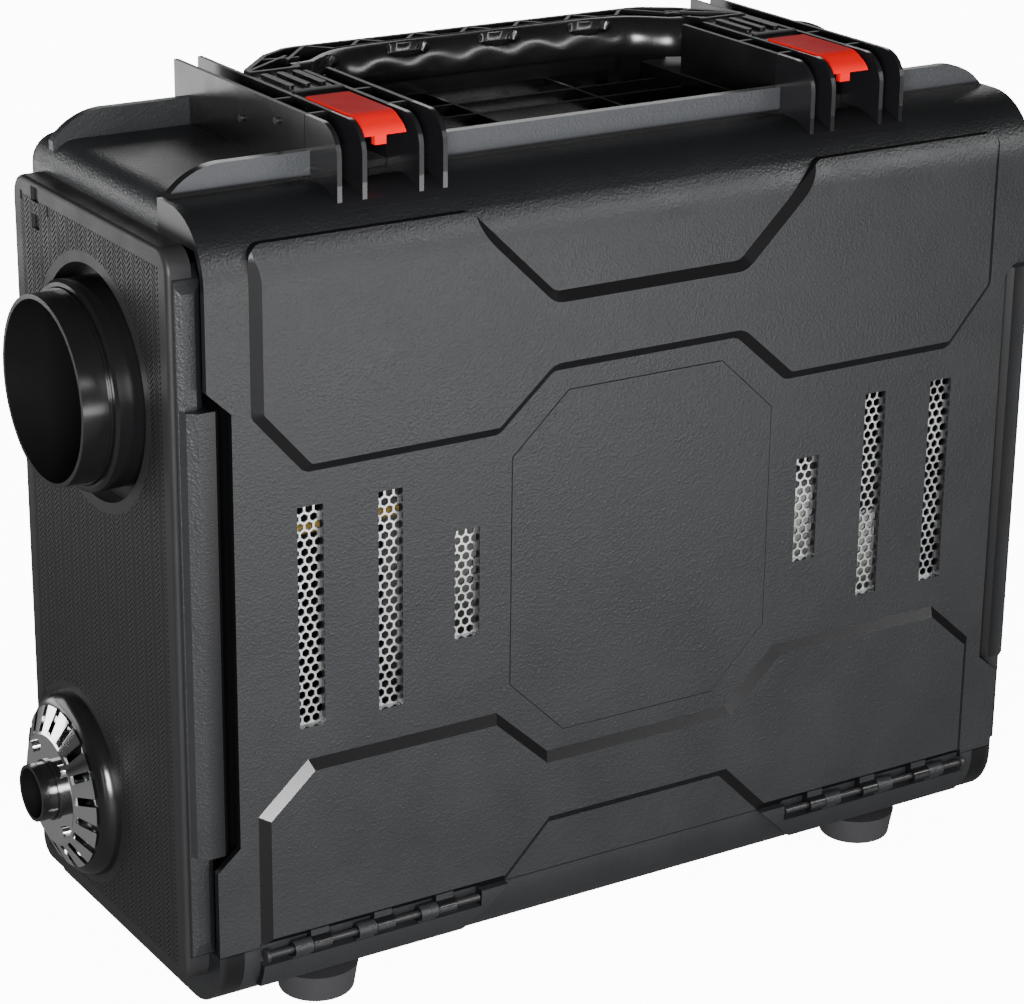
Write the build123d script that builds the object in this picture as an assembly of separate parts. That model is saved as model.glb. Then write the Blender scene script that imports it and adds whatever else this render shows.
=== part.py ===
from build123d import *
import math
import os

os.makedirs("parts", exist_ok=True)

# A carry-case diesel air heater. Millimetres, +Z up, front cover towards -Y, duct end towards -X.
# Everything is laid out about the middle of the case, with z = 0 under the feet,
# and moved at the end so that the origin is the bottom centre of the whole object.

# ---- case -------------------------------------------------------------------------------------
CASE_W = 390.0          # across X, over the cover's side borders
CASE_D = 160.0          # front plane to rear wall
FOOT_H = 12.0
CASE_TOP = 337.0
WALL = 3.0
SEAM = 0.4              # gap at every parting line
PARTING_Z = 39.0        # height of the line under the front cover
COVER_D = 37.0          # depth of the cover behind the front plane
TOP_RADIUS = 27.0       # rounding along the cover's top front edge
SILL_RADIUS = 24.0      # rounding along the sill's bottom front edge
REAR_RADIUS = 12.0
FRONT_Y = -CASE_D / 2
REAR_Y = CASE_D / 2
PARTING_Y = FRONT_Y + COVER_D
SIDE_X = CASE_W / 2

# ---- front cover ------------------------------------------------------------------------------
NOTCH_IN = 10.0         # how far the border steps in along the sides
NOTCH_LOW = (76.0, 84.5)    # heights of the lower slant, at the border and at the step
NOTCH_HIGH = (271.5, 262.0)
RIM = 3.0               # the border stands this far proud of the cover's side wall
RAISED = 3.0            # height of the raised panels
BEVEL = 53.0            # slope of their edges, degrees from square
PANEL_X = 177.0
PANEL_ROUND = 6.0
UPPER_TOP_Z = 325.0
UPPER_LOW_Z = 234.0
UPPER_CORNER = (155.0, 259.0)   # where the side edge turns in, and at what height it starts
UPPER_STEP = ((69.0, 234.0), (44.0, 256.0))
DIP = ((82.0, 323.0), (44.0, 288.5))
LOWER_TOP_Z = 115.5
LOWER_STEP = ((69.0, 115.5), (44.5, 93.0))
LOWER_CORNER = (155.0, 96.0)
APRON = ((43.0, 60.5), (64.0, PARTING_Z))
BADGE = ((63.0, 223.5), (37.0, 247.5), (63.0, 126.5), (37.0, 101.0))
BADGE_DEEP = 1.2
BADGE_GAP = 0.35
SLOTS = ((152.7, 11.2, 129.0, 220.3), (117.7, 10.8, 129.2, 220.3), (83.1, 11.4, 151.7, 197.6))
MESH_T = 0.8
MESH_PITCH = 4.0
MESH_WEB = 0.9
MESH_RIM = 2.2

# ---- hinges -----------------------------------------------------------------------------------
PIN_R = 1.5
PIN_FIT = 0.06
KNUCKLE_R = 3.2
KNUCKLE_L = 8.1
KNUCKLE_GAP = 0.3
WINDOW_L = 12.0
HINGE_PAIRS = 3
HINGE_X = 78.0          # inner end of each hinge
HINGE_Y = FRONT_Y - 2.0
HINGE_Z = 36.0
CHANNEL = (4.2, 5.0)    # half heights cut away below and above the pin

# ---- end panels and their ports ---------------------------------------------------------------
END_T = 10.0
END_FRONT_Y = FRONT_Y + 10.0
END_REAR_Y = REAR_Y - 12.0
END_Z = (FOOT_H + 12.5, CASE_TOP - 13.0)
END_RADIUS = 9.0
END_FACE_X = SIDE_X + END_T
BUMPER_T = 8.0
BUMPER_Z = (FOOT_H + 20.0, CASE_TOP - 20.0)
DUCT_Y = -2.0
DUCT_Z = 255.5
DUCT_OD = 75.0
DUCT_WALL = 1.8
DUCT_OUT = 21.0         # how far the duct stands out of the end panel
RECESS_R = 47.0
RECESS_DEPTH = 8.0
COLLAR_R = 41.5
COLLAR_OUT = 9.0
BEAD = (0.8, 1.0)       # height and width of the bead that stops a duct or pipe
EXHAUST_Y = 25.0
EXHAUST_Z = 75.0
EXHAUST_OD = 24.0
EXHAUST_WALL = 1.5
EXHAUST_OUT = 22.0
BELL_R = 39.0
BELL_H = 8.0
SHIELD_R = 34.0
SHIELD_DISC_R = 23.0
SHIELD_T = 1.2
SHIELD_FINS = 18
SHIELD_RISE = 6.0       # from the top of the bell to the shield's disc
SHIELD_BACK = 5.5       # how far the fins lean back to their tips
GRILLE_R = 44.0
GRILLE_OUT = 4.0
INTAKE_OD = 24.0

# ---- latch blocks and handle ------------------------------------------------------------------
FIN_X = (86.6, 97.0, 121.5, 132.2)
FIN_T = 2.0
FIN_TOP = CASE_TOP + 24.0
FIN_FRONT_Y = FRONT_Y + 12.0
FIN_ROUND = 12.0
FIN_REAR_Y = REAR_Y - 12.5
RIB_T = 1.6
RIB_Y = (PARTING_Y + 4.0, PARTING_Y + 31.0)
TRAY_FLOOR = CASE_TOP - 6.0
TRAY_RIBS_X = (-78.0, -18.0, 42.0)
TRAY_RIBS_Y = tuple(PARTING_Y + step for step in (16.0, 40.0, 64.0, 83.0))
TRAY_Y = (PARTING_Y + SEAM + 3.0, REAR_Y - 16.0)
LIP_H = 11.0
LIP_T = 4.0
REAR_LIP_Y = REAR_Y - 22.0
GRIP_FIT = 0.3
ARM_X = ((FIN_X[1] + FIN_T / 2 + GRIP_FIT), (FIN_X[2] - FIN_T / 2 - GRIP_FIT))
GRIP_Z = (CASE_TOP + 8.0, FIN_TOP + 1.0)
GRIP_PIVOT_Y = FRONT_Y + 76.0
GRIP_BACK_Y = REAR_Y - 21.5
GRIP_BAR = 17.0
INNER_FIN_REAR_Y = GRIP_PIVOT_Y + 28.0
PAD_Y = (GRIP_PIVOT_Y - 5.0, GRIP_PIVOT_Y + 30.0)
PAD_DROP = 1.6
REST_GAP = 0.2
GRIP_BULGES = 7
GRIP_PITCH = 24.5
SWELL_R = 11.5
SWELL_PROUD = 1.4
PIVOT_R = 2.5
BLOCK_SCREW_R = 1.4
BLOCK_SCREW_H = 1.2
LATCH_PIVOT_Y = FRONT_Y + 55.0
LATCH_PIVOT_Z = FIN_TOP - 4.5
LATCH_FRONT_Y = FRONT_Y + 15.7
BLOCK_SCREWS = ((LATCH_PIVOT_Y + 3.8, FIN_TOP - 6.8), (GRIP_PIVOT_Y + 12.2, FIN_TOP - 11.9))
LATCH_T = 3.0
LATCH_TOP = FIN_TOP + 0.7
LATCH_W = 18.6
LATCH_SHIFT = -1.5      # both latches sit a little off the middle of their gap
LATCH_HOOK_Z = LATCH_TOP - 11.1    # bottom of its tab, clear of the cover's top as the cover swings

# ---- feet -------------------------------------------------------------------------------------
FOOT_X = 139.0
FOOT_Y = REAR_Y - 25.3
FOOT_R = 17.5
SCREW_R = 2.0

# ---- heater core ------------------------------------------------------------------------------
CORE_X = (-172.0, 150.0)
CORE_R = 50.0
CORE_WALL = 2.0
FLANGE_T = 2.5
EXCHANGER_R = CORE_R - 17.0
EXCHANGER_X = (-150.0, 20.0)
COOLING_FINS = 18
BURNER_R = EXCHANGER_R - 11.0
BURNER_X = (-70.0, 18.0)
MOTOR_X = (62.0, 108.0)
SHAFT_R = 4.0
SHAFT_FIT = 0.05
FAN_R = CORE_R - 8.0
FAN_X = (118.0, 136.0)
BLADES = 7
BLOWER_R = CORE_R - 16.0
MOTOR_R = BLOWER_R - 10.0
BLOWER_X = (34.0, 48.0)

# ---- fuel side --------------------------------------------------------------------------------
TANK_X = (-40.0, 176.0)
TANK_Y = (PARTING_Y + 5.0, REAR_Y - WALL - 7.0)
TANK_Z = (15.0, 164.0)
TANK_WALL = 2.5
STRAP_X = (60.0, 80.0)
STRAP_T = 1.5
NECK_X = 140.0
NECK_R = 12.0
CAP_R = 16.0
CAP_H = 14.0
CAP_FIT = 0.3
CAP_LIFT = 0.1
PUMP_R = 14.0
PUMP_X = (-152.0, -104.0)
PUMP_Y = -20.0
PUMP_Z = 40.0
FILTER_R = 10.0
FILTER_X = (-80.0, -58.0)
STUB_L = 6.0
LINE_R = 2.5
LINE_BEND = 12.0
STUB_Z = 200.0          # lower end of the stubs under the heater core
STUB_X = -110.0
INTAKE_X = 40.0
INTAKE_Y = -22.0
BURNER_PLATE = 6.0
FUEL_X = EXCHANGER_X[1] + BURNER_PLATE / 2
FUEL_Y = -20.0
LINE_Z = 186.0
GLOW_UP = 15.0
SILENCER_Z = 180.0
SILENCER_X = (70.0, 118.0)
SILENCER_R = 14.0

# ---- controls, on the right-hand end panel ----------------------------------------------------
CONTROL_Y = -20.0
CONTROL_Z = 150.0
BEZEL = (70.0, 92.0, 4.0)
SCREEN = (48.0, 30.0, 1.5)
BUTTON_R = 6.0
BUTTON_FIT = 0.3
BUTTON_PROUD = 2.0
SCREEN_Z = CONTROL_Z + 22.0
SOCKET_Z = 70.0
SOCKET_R = 13.0
SOCKET_OUT = 8.0
BOARD_GAP = 5.0
BOARD_X = (-60.0, 40.0)
BOARD_Z = (225.0, 285.0)

HINGE_PITCH = WINDOW_L + 2 * KNUCKLE_L + 2 * KNUCKLE_GAP
HINGE_LEN = HINGE_PAIRS * HINGE_PITCH + WINDOW_L
OUT_LEFT = END_FACE_X + EXHAUST_OUT
OUT_RIGHT = END_FACE_X + SOCKET_OUT
OUT_FRONT = HINGE_Y - KNUCKLE_R
ORIGIN = Pos((OUT_LEFT - OUT_RIGHT) / 2, -(OUT_FRONT + REAR_Y) / 2, 0)


def box(x, y, z):
    """A box between pairs of limits along X, Y and Z."""
    size = [b - a for a, b in (x, y, z)]
    return Pos((x[0] + x[1]) / 2, (y[0] + y[1]) / 2, (z[0] + z[1]) / 2) * Box(*size)


def outline(points, radius=0.0):
    """A closed flat outline, with its corners rounded."""
    face = make_face(Polyline(*points, close=True))
    return fillet(face.vertices(), radius) if radius else face


def along_x(face, x):
    """A YZ outline carried from one X to another."""
    return extrude(Plane.YZ.offset(x[0]) * face, amount=x[1] - x[0])


def along_y(face, y, taper=0.0):
    """An XZ outline carried forward, towards -Y, from y[1] to y[0]."""
    return extrude(Plane.XZ.offset(-y[1]) * face, amount=y[1] - y[0], taper=taper)


def along_z(face, z):
    """An XY outline carried up."""
    return extrude(Plane.XY.offset(z[0]) * face, amount=z[1] - z[0])


def rod_x(y, z, radius, x):
    return Pos((x[0] + x[1]) / 2, y, z) * Rot(0, 90, 0) * Cylinder(radius, x[1] - x[0])


def rod_y(x, z, radius, y):
    return Pos(x, (y[0] + y[1]) / 2, z) * Rot(90, 0, 0) * Cylinder(radius, y[1] - y[0])


def rod_z(x, y, radius, z):
    return Pos(x, y, (z[0] + z[1]) / 2) * Cylinder(radius, z[1] - z[0])


def mirrored(points):
    """Points on the +X side, and the same points on the other side in reverse."""
    return list(points) + [(-x, z) for x, z in reversed(points)]


def pipe(points, radius, bend, bore=0.0):
    """A round pipe along straight runs joined by arcs."""
    path = FilletPolyline(*points, radius=bend)
    start = Plane(origin=path @ 0, z_dir=path % 0)
    ring = Circle(radius) - Circle(bore) if bore else Circle(radius)
    return sweep(start * ring, path=path)


def save(shape, node):
    export_step(ORIGIN * shape, f"parts/{node}.step")


# ---- the outer form of the case ---------------------------------------------------------------
def rounded_front(grow, y_back, z, radius, low):
    """A full-width block whose top (or bottom) front edge is rounded, grown forward and out."""
    block = box((-SIDE_X, SIDE_X), (FRONT_Y - grow, y_back), z)
    height = z[0] if low else z[1]
    edges = block.edges().filter_by(Axis.X).filter_by_position(Axis.Z, height - 0.1, height + 0.1)
    return fillet(edges.sort_by(Axis.Y)[0], radius + grow)


def raised(face, blank, y_back):
    """A raised panel with sloping edges: its outline on the front plane, trimmed to a grown blank."""
    slope = along_y(face, (FRONT_Y - RAISED, FRONT_Y), BEVEL)
    back = along_y(face, (FRONT_Y, y_back))
    return blank & (slope + back)


def hinge_lengths(side, body):
    """X limits of the knuckles that belong to the cover (body 0) or the sill (body 1)."""
    lengths = []
    for pair in range(HINGE_PAIRS):
        start = HINGE_X + pair * HINGE_PITCH + WINDOW_L + body * (KNUCKLE_L + KNUCKLE_GAP)
        lengths.append(tuple(sorted((side * start, side * (start + KNUCKLE_L)))))
    return lengths


def hinge_channel(side):
    """The room cut round a hinge, in the cover and the sill alike."""
    x = sorted((side * (HINGE_X - 1), side * (HINGE_X + HINGE_LEN + 1)))
    y = (OUT_FRONT - 2, HINGE_Y + KNUCKLE_R + 0.8)
    return box(x, y, (HINGE_Z - CHANNEL[0], HINGE_Z + CHANNEL[1]))


def knuckles(side, body):
    """Barrels round the pin, each with the web that joins it to its shell."""
    shape = None
    for x in hinge_lengths(side, body):
        barrel = rod_x(HINGE_Y, HINGE_Z, KNUCKLE_R, x)
        y = (HINGE_Y, HINGE_Y + KNUCKLE_R + 0.5)
        z = (HINGE_Z - CHANNEL[0] - 1, HINGE_Z) if body else (HINGE_Z, HINGE_Z + CHANNEL[1] + 1)
        shape = barrel + box(x, y, z) if shape is None else shape + barrel + box(x, y, z)
    bore = PIN_R if body else PIN_R + PIN_FIT
    return shape - rod_x(HINGE_Y, HINGE_Z, bore, (-SIDE_X, SIDE_X))


def fin_profile(y_back):
    """Side view of a latch-block plate: rounded over the front of the case's top."""
    front = [(FIN_FRONT_Y, CASE_TOP - 20), (FIN_FRONT_Y, FIN_TOP), (y_back, FIN_TOP), (y_back, CASE_TOP - 20)]
    face = make_face(Polyline(*front, close=True))
    corner = face.vertices().sort_by(Axis.X)[:2].sort_by(Axis.Y)[-1]
    return fillet(corner, FIN_ROUND)


def fin_rows(y_back, side):
    """The plates of one latch block, each as wide as its moulding."""
    plates = []
    for number, x in enumerate(FIN_X):
        back = y_back if number > 1 else min(y_back, INNER_FIN_REAR_Y)
        limits = sorted((side * (x - FIN_T / 2), side * (x + FIN_T / 2)))
        plates.append(along_x(fin_profile(back), limits))
    return plates


def cross_ribs(side):
    """Thin ribs across the outer gaps between the plates."""
    ribs = []
    for low, high in ((FIN_X[0], FIN_X[1]), (FIN_X[2], FIN_X[3])):
        x = sorted((side * (low + FIN_T / 2), side * (high - FIN_T / 2)))
        for place in RIB_Y:
            ribs.append(box(x, (place - RIB_T, place), (CASE_TOP - 2, FIN_TOP - 0.6)))
    return ribs


def lip_wall(y):
    """A low wall along the top of the case, its ends curving down to the side flanges."""
    end, shoulder = SIDE_X - 2, SIDE_X - 27
    curve = ThreePointArc((end, CASE_TOP), (end - 8, CASE_TOP + 7), (shoulder, CASE_TOP + LIP_H))
    crest = Line(curve @ 1, (-shoulder, CASE_TOP + LIP_H))
    other = ThreePointArc(crest @ 1, (8 - end, CASE_TOP + 7), (-end, CASE_TOP))
    base = Polyline((-end, CASE_TOP), (-end, CASE_TOP - 4), (end, CASE_TOP - 4), (end, CASE_TOP))
    return along_y(make_face([curve, crest, other, base]), y)


# ---- front cover ------------------------------------------------------------------------------
def cover_outline():
    low, high = PARTING_Z + SEAM / 2, CASE_TOP + RAISED
    step = SIDE_X - NOTCH_IN
    side = [(SIDE_X, low), (SIDE_X, NOTCH_LOW[0]), (step, NOTCH_LOW[1]), (step, NOTCH_HIGH[1])]
    side += [(SIDE_X, NOTCH_HIGH[0]), (SIDE_X, high)]
    return make_face(Polyline(*mirrored(side), close=True))


def upper_panel():
    side = [(DIP[0][0], UPPER_TOP_Z), (PANEL_X, UPPER_TOP_Z), (PANEL_X, UPPER_CORNER[1])]
    side += [(UPPER_CORNER[0], UPPER_LOW_Z), UPPER_STEP[0], UPPER_STEP[1]]
    return outline(mirrored(side) + [(-DIP[1][0], DIP[1][1]), (DIP[1][0], DIP[1][1])], PANEL_ROUND)


def lower_panel(low):
    side = [(PANEL_X, low), (PANEL_X, LOWER_CORNER[1]), (LOWER_CORNER[0], LOWER_TOP_Z)]
    side += [LOWER_STEP[0], LOWER_STEP[1]]
    apron = [(-APRON[1][0], low), (-APRON[0][0], APRON[0][1]), (APRON[0][0], APRON[0][1]), (APRON[1][0], low)]
    return make_face(Polyline(*mirrored(side), *apron, close=True))


def badge_outline(gap):
    """The eight-sided recess, or the plate that lies in it with a gap all round."""
    side = [BADGE[3], BADGE[2], BADGE[0], BADGE[1]]
    face = outline(mirrored(side), 2.0)
    return offset(face, -gap) if gap else face


def slot_bars(grow, y):
    """The six vent slots, or plates that much larger."""
    shapes = []
    for x, width, low, high in SLOTS:
        for side in (-1, 1):
            half = width / 2 + grow
            shapes.append((side, box((side * x - half, side * x + half), y, (low - grow, high + grow))))
    return shapes


def front_cover():
    low = PARTING_Z + SEAM / 2
    back = PARTING_Y - SEAM / 2
    blank = rounded_front(0, back, (low, CASE_TOP), TOP_RADIUS, False)
    grown = rounded_front(RAISED, back, (low, CASE_TOP + RAISED), TOP_RADIUS, False)
    body = blank & along_y(cover_outline(), (FRONT_Y - RAISED, back))
    wall_x = SIDE_X - NOTCH_IN - RIM
    inner = rounded_front(-WALL, back + 1, (low - 1, CASE_TOP - WALL), TOP_RADIUS, False)
    for side in (-1, 1):
        x = sorted((side * wall_x, side * (SIDE_X + 1)))
        body -= inner & box(x, (FRONT_Y, back + 1), (low - 1, END_Z[1]))
    hollow = box((WALL - wall_x, wall_x - WALL), (FRONT_Y + WALL, back + 1), (low + WALL, CASE_TOP - WALL))
    hollow_edges = hollow.edges().filter_by(Axis.X).sort_by(Axis.Z)[-2:].sort_by(Axis.Y)
    body -= fillet(hollow_edges[0], TOP_RADIUS - WALL)
    body += raised(upper_panel(), grown, back)
    body += raised(lower_panel(low), grown, FRONT_Y + 1)
    body += lip_wall((back - LIP_T, back))
    for side in (-1, 1):
        gap = sorted((side * FIN_X[1], side * FIN_X[2]))
        body -= box(gap, (back - LIP_T - 1, back + 1), (CASE_TOP, CASE_TOP + LIP_H + 1))
    for side in (-1, 1):
        for plate in fin_rows(back, side):
            body += plate - box((-SIDE_X, SIDE_X), (FRONT_Y, back), (CASE_TOP - 30, CASE_TOP - TOP_RADIUS))
        body -= hinge_channel(side)
        body += knuckles(side, 0)
    keep_clear = box((-SIDE_X, SIDE_X), (FRONT_Y + WALL, back + 1), (low + WALL, CASE_TOP - TOP_RADIUS))
    body -= keep_clear & box(
        (WALL - wall_x, wall_x - WALL), (FRONT_Y + WALL, back + 1), (low + WALL, CASE_TOP)
    )
    body -= along_y(badge_outline(0), (FRONT_Y - 1, FRONT_Y + BADGE_DEEP))
    for _, bar in slot_bars(0, (FRONT_Y - 1, FRONT_Y + WALL + 1)):
        body -= bar
    return body


def badge_plate():
    return along_y(badge_outline(BADGE_GAP), (FRONT_Y - 0.2, FRONT_Y + BADGE_DEEP))


def vent_mesh(side):
    """Hexagonal wire mesh behind the slots of one side, each a thin holed plate."""
    y = (FRONT_Y + WALL, FRONT_Y + WALL + MESH_T)
    cell = RegularPolygon((MESH_PITCH - MESH_WEB) / 2, 6, major_radius=False, rotation=30)
    hole = along_y(cell, (y[0] - 1, y[1] + 1))
    rise = MESH_PITCH * math.sqrt(3) / 2
    plates = None
    for place, bar in slot_bars(MESH_RIM, y):
        if place != side:
            continue
        centre = bar.center()
        size = bar.bounding_box().size
        rows = int((size.Z - 2 * MESH_RIM) / rise)
        holes = []
        for row in range(rows):
            shift = MESH_PITCH / 2 if row % 2 else 0.0
            for column in (-1, 0, 1):
                x = centre.X + column * MESH_PITCH + shift - MESH_PITCH / 4
                z = centre.Z + (row - (rows - 1) / 2) * rise
                holes.append(Pos(x, 0, z) * hole)
        plate = bar - holes
        plates = plate if plates is None else plates + plate
    return plates


# ---- rear shell -------------------------------------------------------------------------------
def bumper(side):
    """Jamb beside the cover and the soft shoulder on it, which stands further out beside the notch."""
    back = PARTING_Y + 1
    step = END_FRONT_Y - SEAM
    outer = SIDE_X + BUMPER_T
    slim = [(outer, step), (SIDE_X, step), (SIDE_X, back), (SIDE_X - 11, back), (SIDE_X - 11, FRONT_Y + 24)]
    slim += [(SIDE_X - 6, FRONT_Y + 20), (SIDE_X - 2, FRONT_Y + 8), (SIDE_X + 1, FRONT_Y + 6)]
    slim += [(outer - 2, FRONT_Y + 6), (outer, FRONT_Y + 7.5)]
    wide = [(outer, step), (SIDE_X, step), (SIDE_X, back), (SIDE_X - 11, back), (SIDE_X - 11, FRONT_Y + 22)]
    wide += [(SIDE_X - 6.5, FRONT_Y + 4), (SIDE_X - 4, FRONT_Y + 1.2), (SIDE_X + 3, FRONT_Y + 1.2)]
    wide += [(SIDE_X + 6.5, FRONT_Y + 4), (outer, FRONT_Y + 8)]
    low, high = BUMPER_Z
    shape = along_z(make_face(Polyline(*slim, close=True)), (low, high))
    shape += along_z(make_face(Polyline(*wide, close=True)), (NOTCH_LOW[1] - 2, NOTCH_HIGH[1] + 2))
    ends = [(back, low), (FRONT_Y + 16, low), (FRONT_Y + 7, low + 7), (FRONT_Y - 1, NOTCH_LOW[1] - 6)]
    ends += [(FRONT_Y - 1, NOTCH_HIGH[1] + 6), (FRONT_Y + 5, high - 10), (FRONT_Y + 9, high - 4)]
    ends += [(FRONT_Y + 16, high), (back, high)]
    shape &= along_x(make_face(Polyline(*ends, close=True)), (SIDE_X - 12, outer + 1))
    return shape if side > 0 else mirror(shape, Plane.YZ)


def case_form(inset):
    """The rear shell's block with the sill, rounded, or the room inside it."""
    x = (-SIDE_X + inset, SIDE_X - inset)
    back = box(x, (PARTING_Y + SEAM / 2, REAR_Y - inset), (FOOT_H + inset, CASE_TOP - inset))
    upright = back.edges().filter_by(Axis.Z).sort_by(Axis.Y)[-2:]
    rear = REAR_RADIUS - inset
    back = fillet(upright, rear)
    top = back.edges().filter_by(Axis.X).sort_by(Axis.Z)[-2:].sort_by(Axis.Y)[-1]
    back = fillet(top, rear)
    sill_top = PARTING_Z - SEAM / 2 + inset
    sill = box(x, (FRONT_Y + inset, PARTING_Y + 1), (FOOT_H + inset, sill_top))
    edge = sill.edges().filter_by(Axis.X).sort_by(Axis.Z)[:2].sort_by(Axis.Y)[0]
    return back + fillet(edge, SILL_RADIUS - inset)


def rear_shell():
    shell = case_form(0)
    for side in (-1, 1):
        shell += bumper(side)
    shell -= case_form(WALL)
    grown_z = (FOOT_H - RAISED, PARTING_Z - SEAM / 2)
    grown_sill = box((-SIDE_X, SIDE_X), (FRONT_Y - RAISED, PARTING_Y), grown_z)
    sill_edge = grown_sill.edges().filter_by(Axis.X).sort_by(Axis.Z)[:2].sort_by(Axis.Y)[0]
    grown_sill = fillet(sill_edge, SILL_RADIUS + RAISED)
    drop = PARTING_Z - FOOT_H
    for side in (-1, 1):
        lean = APRON[1][0] + drop * 0.72
        points = [(side * APRON[1][0], PARTING_Z), (side * PANEL_X, PARTING_Z), (side * PANEL_X, FOOT_H + 9)]
        points += [(side * lean, FOOT_H + 9)]
        face = make_face(Polyline(*points, close=True))
        shell += grown_sill & along_y(face, (FRONT_Y - RAISED, FRONT_Y + 6))
    shell -= case_form(WALL)
    half = FIN_X[0] - FIN_T / 2
    shell -= box((-half, half), TRAY_Y, (CASE_TOP - WALL - 1, CASE_TOP + 1))
    lip = lip_wall((REAR_LIP_Y - LIP_T, REAR_LIP_Y))
    reach = FIN_X[3] + FIN_T / 2
    shell += lip - box((-reach, reach), (-REAR_Y, REAR_Y), (CASE_TOP - 5, CASE_TOP + LIP_H + 1))
    for side in (-1, 1):
        shell -= hinge_channel(side)
        shell += knuckles(side, 1)
    # ports through the side walls
    shell -= rod_x(DUCT_Y, DUCT_Z, RECESS_R - 1, (-SIDE_X - 1, -SIDE_X + WALL + 1))
    shell -= rod_x(EXHAUST_Y, EXHAUST_Z, EXHAUST_OD / 2 + 3, (-SIDE_X - 1, -SIDE_X + WALL + 1))
    shell -= rod_x(DUCT_Y, DUCT_Z, GRILLE_R - 4, (SIDE_X - WALL - 1, SIDE_X + 1))
    control_y = (CONTROL_Y - 28, CONTROL_Y + 28)
    shell -= box((SIDE_X - WALL - 1, SIDE_X + 1), control_y, (CONTROL_Z - 40, CONTROL_Z + 40))
    for x in (-FOOT_X, FOOT_X):
        for y in (-FOOT_Y, FOOT_Y):
            shell -= rod_z(x, y, SCREW_R, (FOOT_H - 1, FOOT_H + WALL + 1))
    return shell


def top_deck():
    """The glossy moulding on top of the shell: a sunk tray with a grid, and the rear of both latch blocks."""
    half = FIN_X[0] - FIN_T / 2
    reach = FIN_X[3] + FIN_T / 2
    front = PARTING_Y + SEAM / 2
    deck = box((-half, half), TRAY_Y, (TRAY_FLOOR - WALL, CASE_TOP + 3))
    deck -= box((-half + 2, half - 2), (TRAY_Y[0] + 2, TRAY_Y[1] - 2), (TRAY_FLOOR, CASE_TOP + 4))
    for x in TRAY_RIBS_X:
        deck += box((x - RIB_T / 2, x + RIB_T / 2), TRAY_Y, (TRAY_FLOOR - 1, CASE_TOP - 2))
    for y in TRAY_RIBS_Y:
        deck += box((-half, half), (y - RIB_T / 2, y + RIB_T / 2), (TRAY_FLOOR - 1, CASE_TOP - 2))
    for side in (-1, 1):
        floor = sorted((side * half, side * reach))
        deck += box(floor, (front, FIN_REAR_Y), (CASE_TOP, CASE_TOP + 3))
        for plate in fin_rows(FIN_REAR_Y, side):
            deck += plate & box((-SIDE_X, SIDE_X), (front, REAR_Y), (CASE_TOP, FIN_TOP + 1))
        for rib in cross_ribs(side):
            deck += rib & box((-SIDE_X, SIDE_X), (front, REAR_Y), (CASE_TOP, FIN_TOP + 1))
        rest = sorted((side * 70, side * 80))
        deck += box(rest, (GRIP_BACK_Y - 12, GRIP_BACK_Y - 2), (TRAY_FLOOR - 1, GRIP_Z[0] - REST_GAP))
        through = sorted((side * (FIN_X[1] - 2), side * (FIN_X[2] + 2)))
        deck -= rod_x(GRIP_PIVOT_Y, (GRIP_Z[0] + GRIP_Z[1]) / 2, PIVOT_R, through)
        deck -= rod_x(LATCH_PIVOT_Y, LATCH_PIVOT_Z, PIVOT_R - 0.5, through)
    return deck


# ---- latches ----------------------------------------------------------------------------------
def latch_x(side):
    middle = side * (FIN_X[1] + FIN_X[2]) / 2 + LATCH_SHIFT
    return (middle - LATCH_W / 2, middle + LATCH_W / 2)


def latch(side):
    """A flap between the middle plates: flat top, nose that follows their curve, narrow tab below."""
    back = LATCH_PIVOT_Y + 5
    low = LATCH_TOP - LATCH_T
    front = LATCH_FRONT_Y
    over = Polyline((back, low), (back, LATCH_TOP), (front + 12.5, LATCH_TOP))
    bend = ((front + 4.5, LATCH_TOP - 2.6), (front, LATCH_TOP - 6.7))
    nose = Spline(over @ 1, *bend, tangents=[(-1, 0), (-0.4, -1)])
    lip = Line(nose @ 1, (front + 2.6, LATCH_TOP - 7.3))
    curl = Spline(lip @ 1, (front + 6, LATCH_TOP - 5), (front + 13.5, low), tangents=[(0.4, 1), (1, 0)])
    flap = along_x(make_face([over, nose, lip, curl, Line(curl @ 1, (back, low))]), latch_x(side))
    flap += rod_x(LATCH_PIVOT_Y, LATCH_PIVOT_Z, PIVOT_R + 1.5, latch_x(side))
    middle = sum(latch_x(side)) / 2
    tab = box((middle - 2.5, middle + 2.5), (front + 3.2, front + 5.8), (LATCH_HOOK_Z, low - 1))
    return flap + tab - rod_x(LATCH_PIVOT_Y, LATCH_PIVOT_Z, PIVOT_R - 0.5 + PIN_FIT, latch_x(side))


def latch_pin(side):
    x = sorted((side * (FIN_X[1] - FIN_T / 2), side * (FIN_X[2] + FIN_T / 2)))
    return rod_x(LATCH_PIVOT_Y, LATCH_PIVOT_Z, PIVOT_R - 0.5, x)


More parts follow.
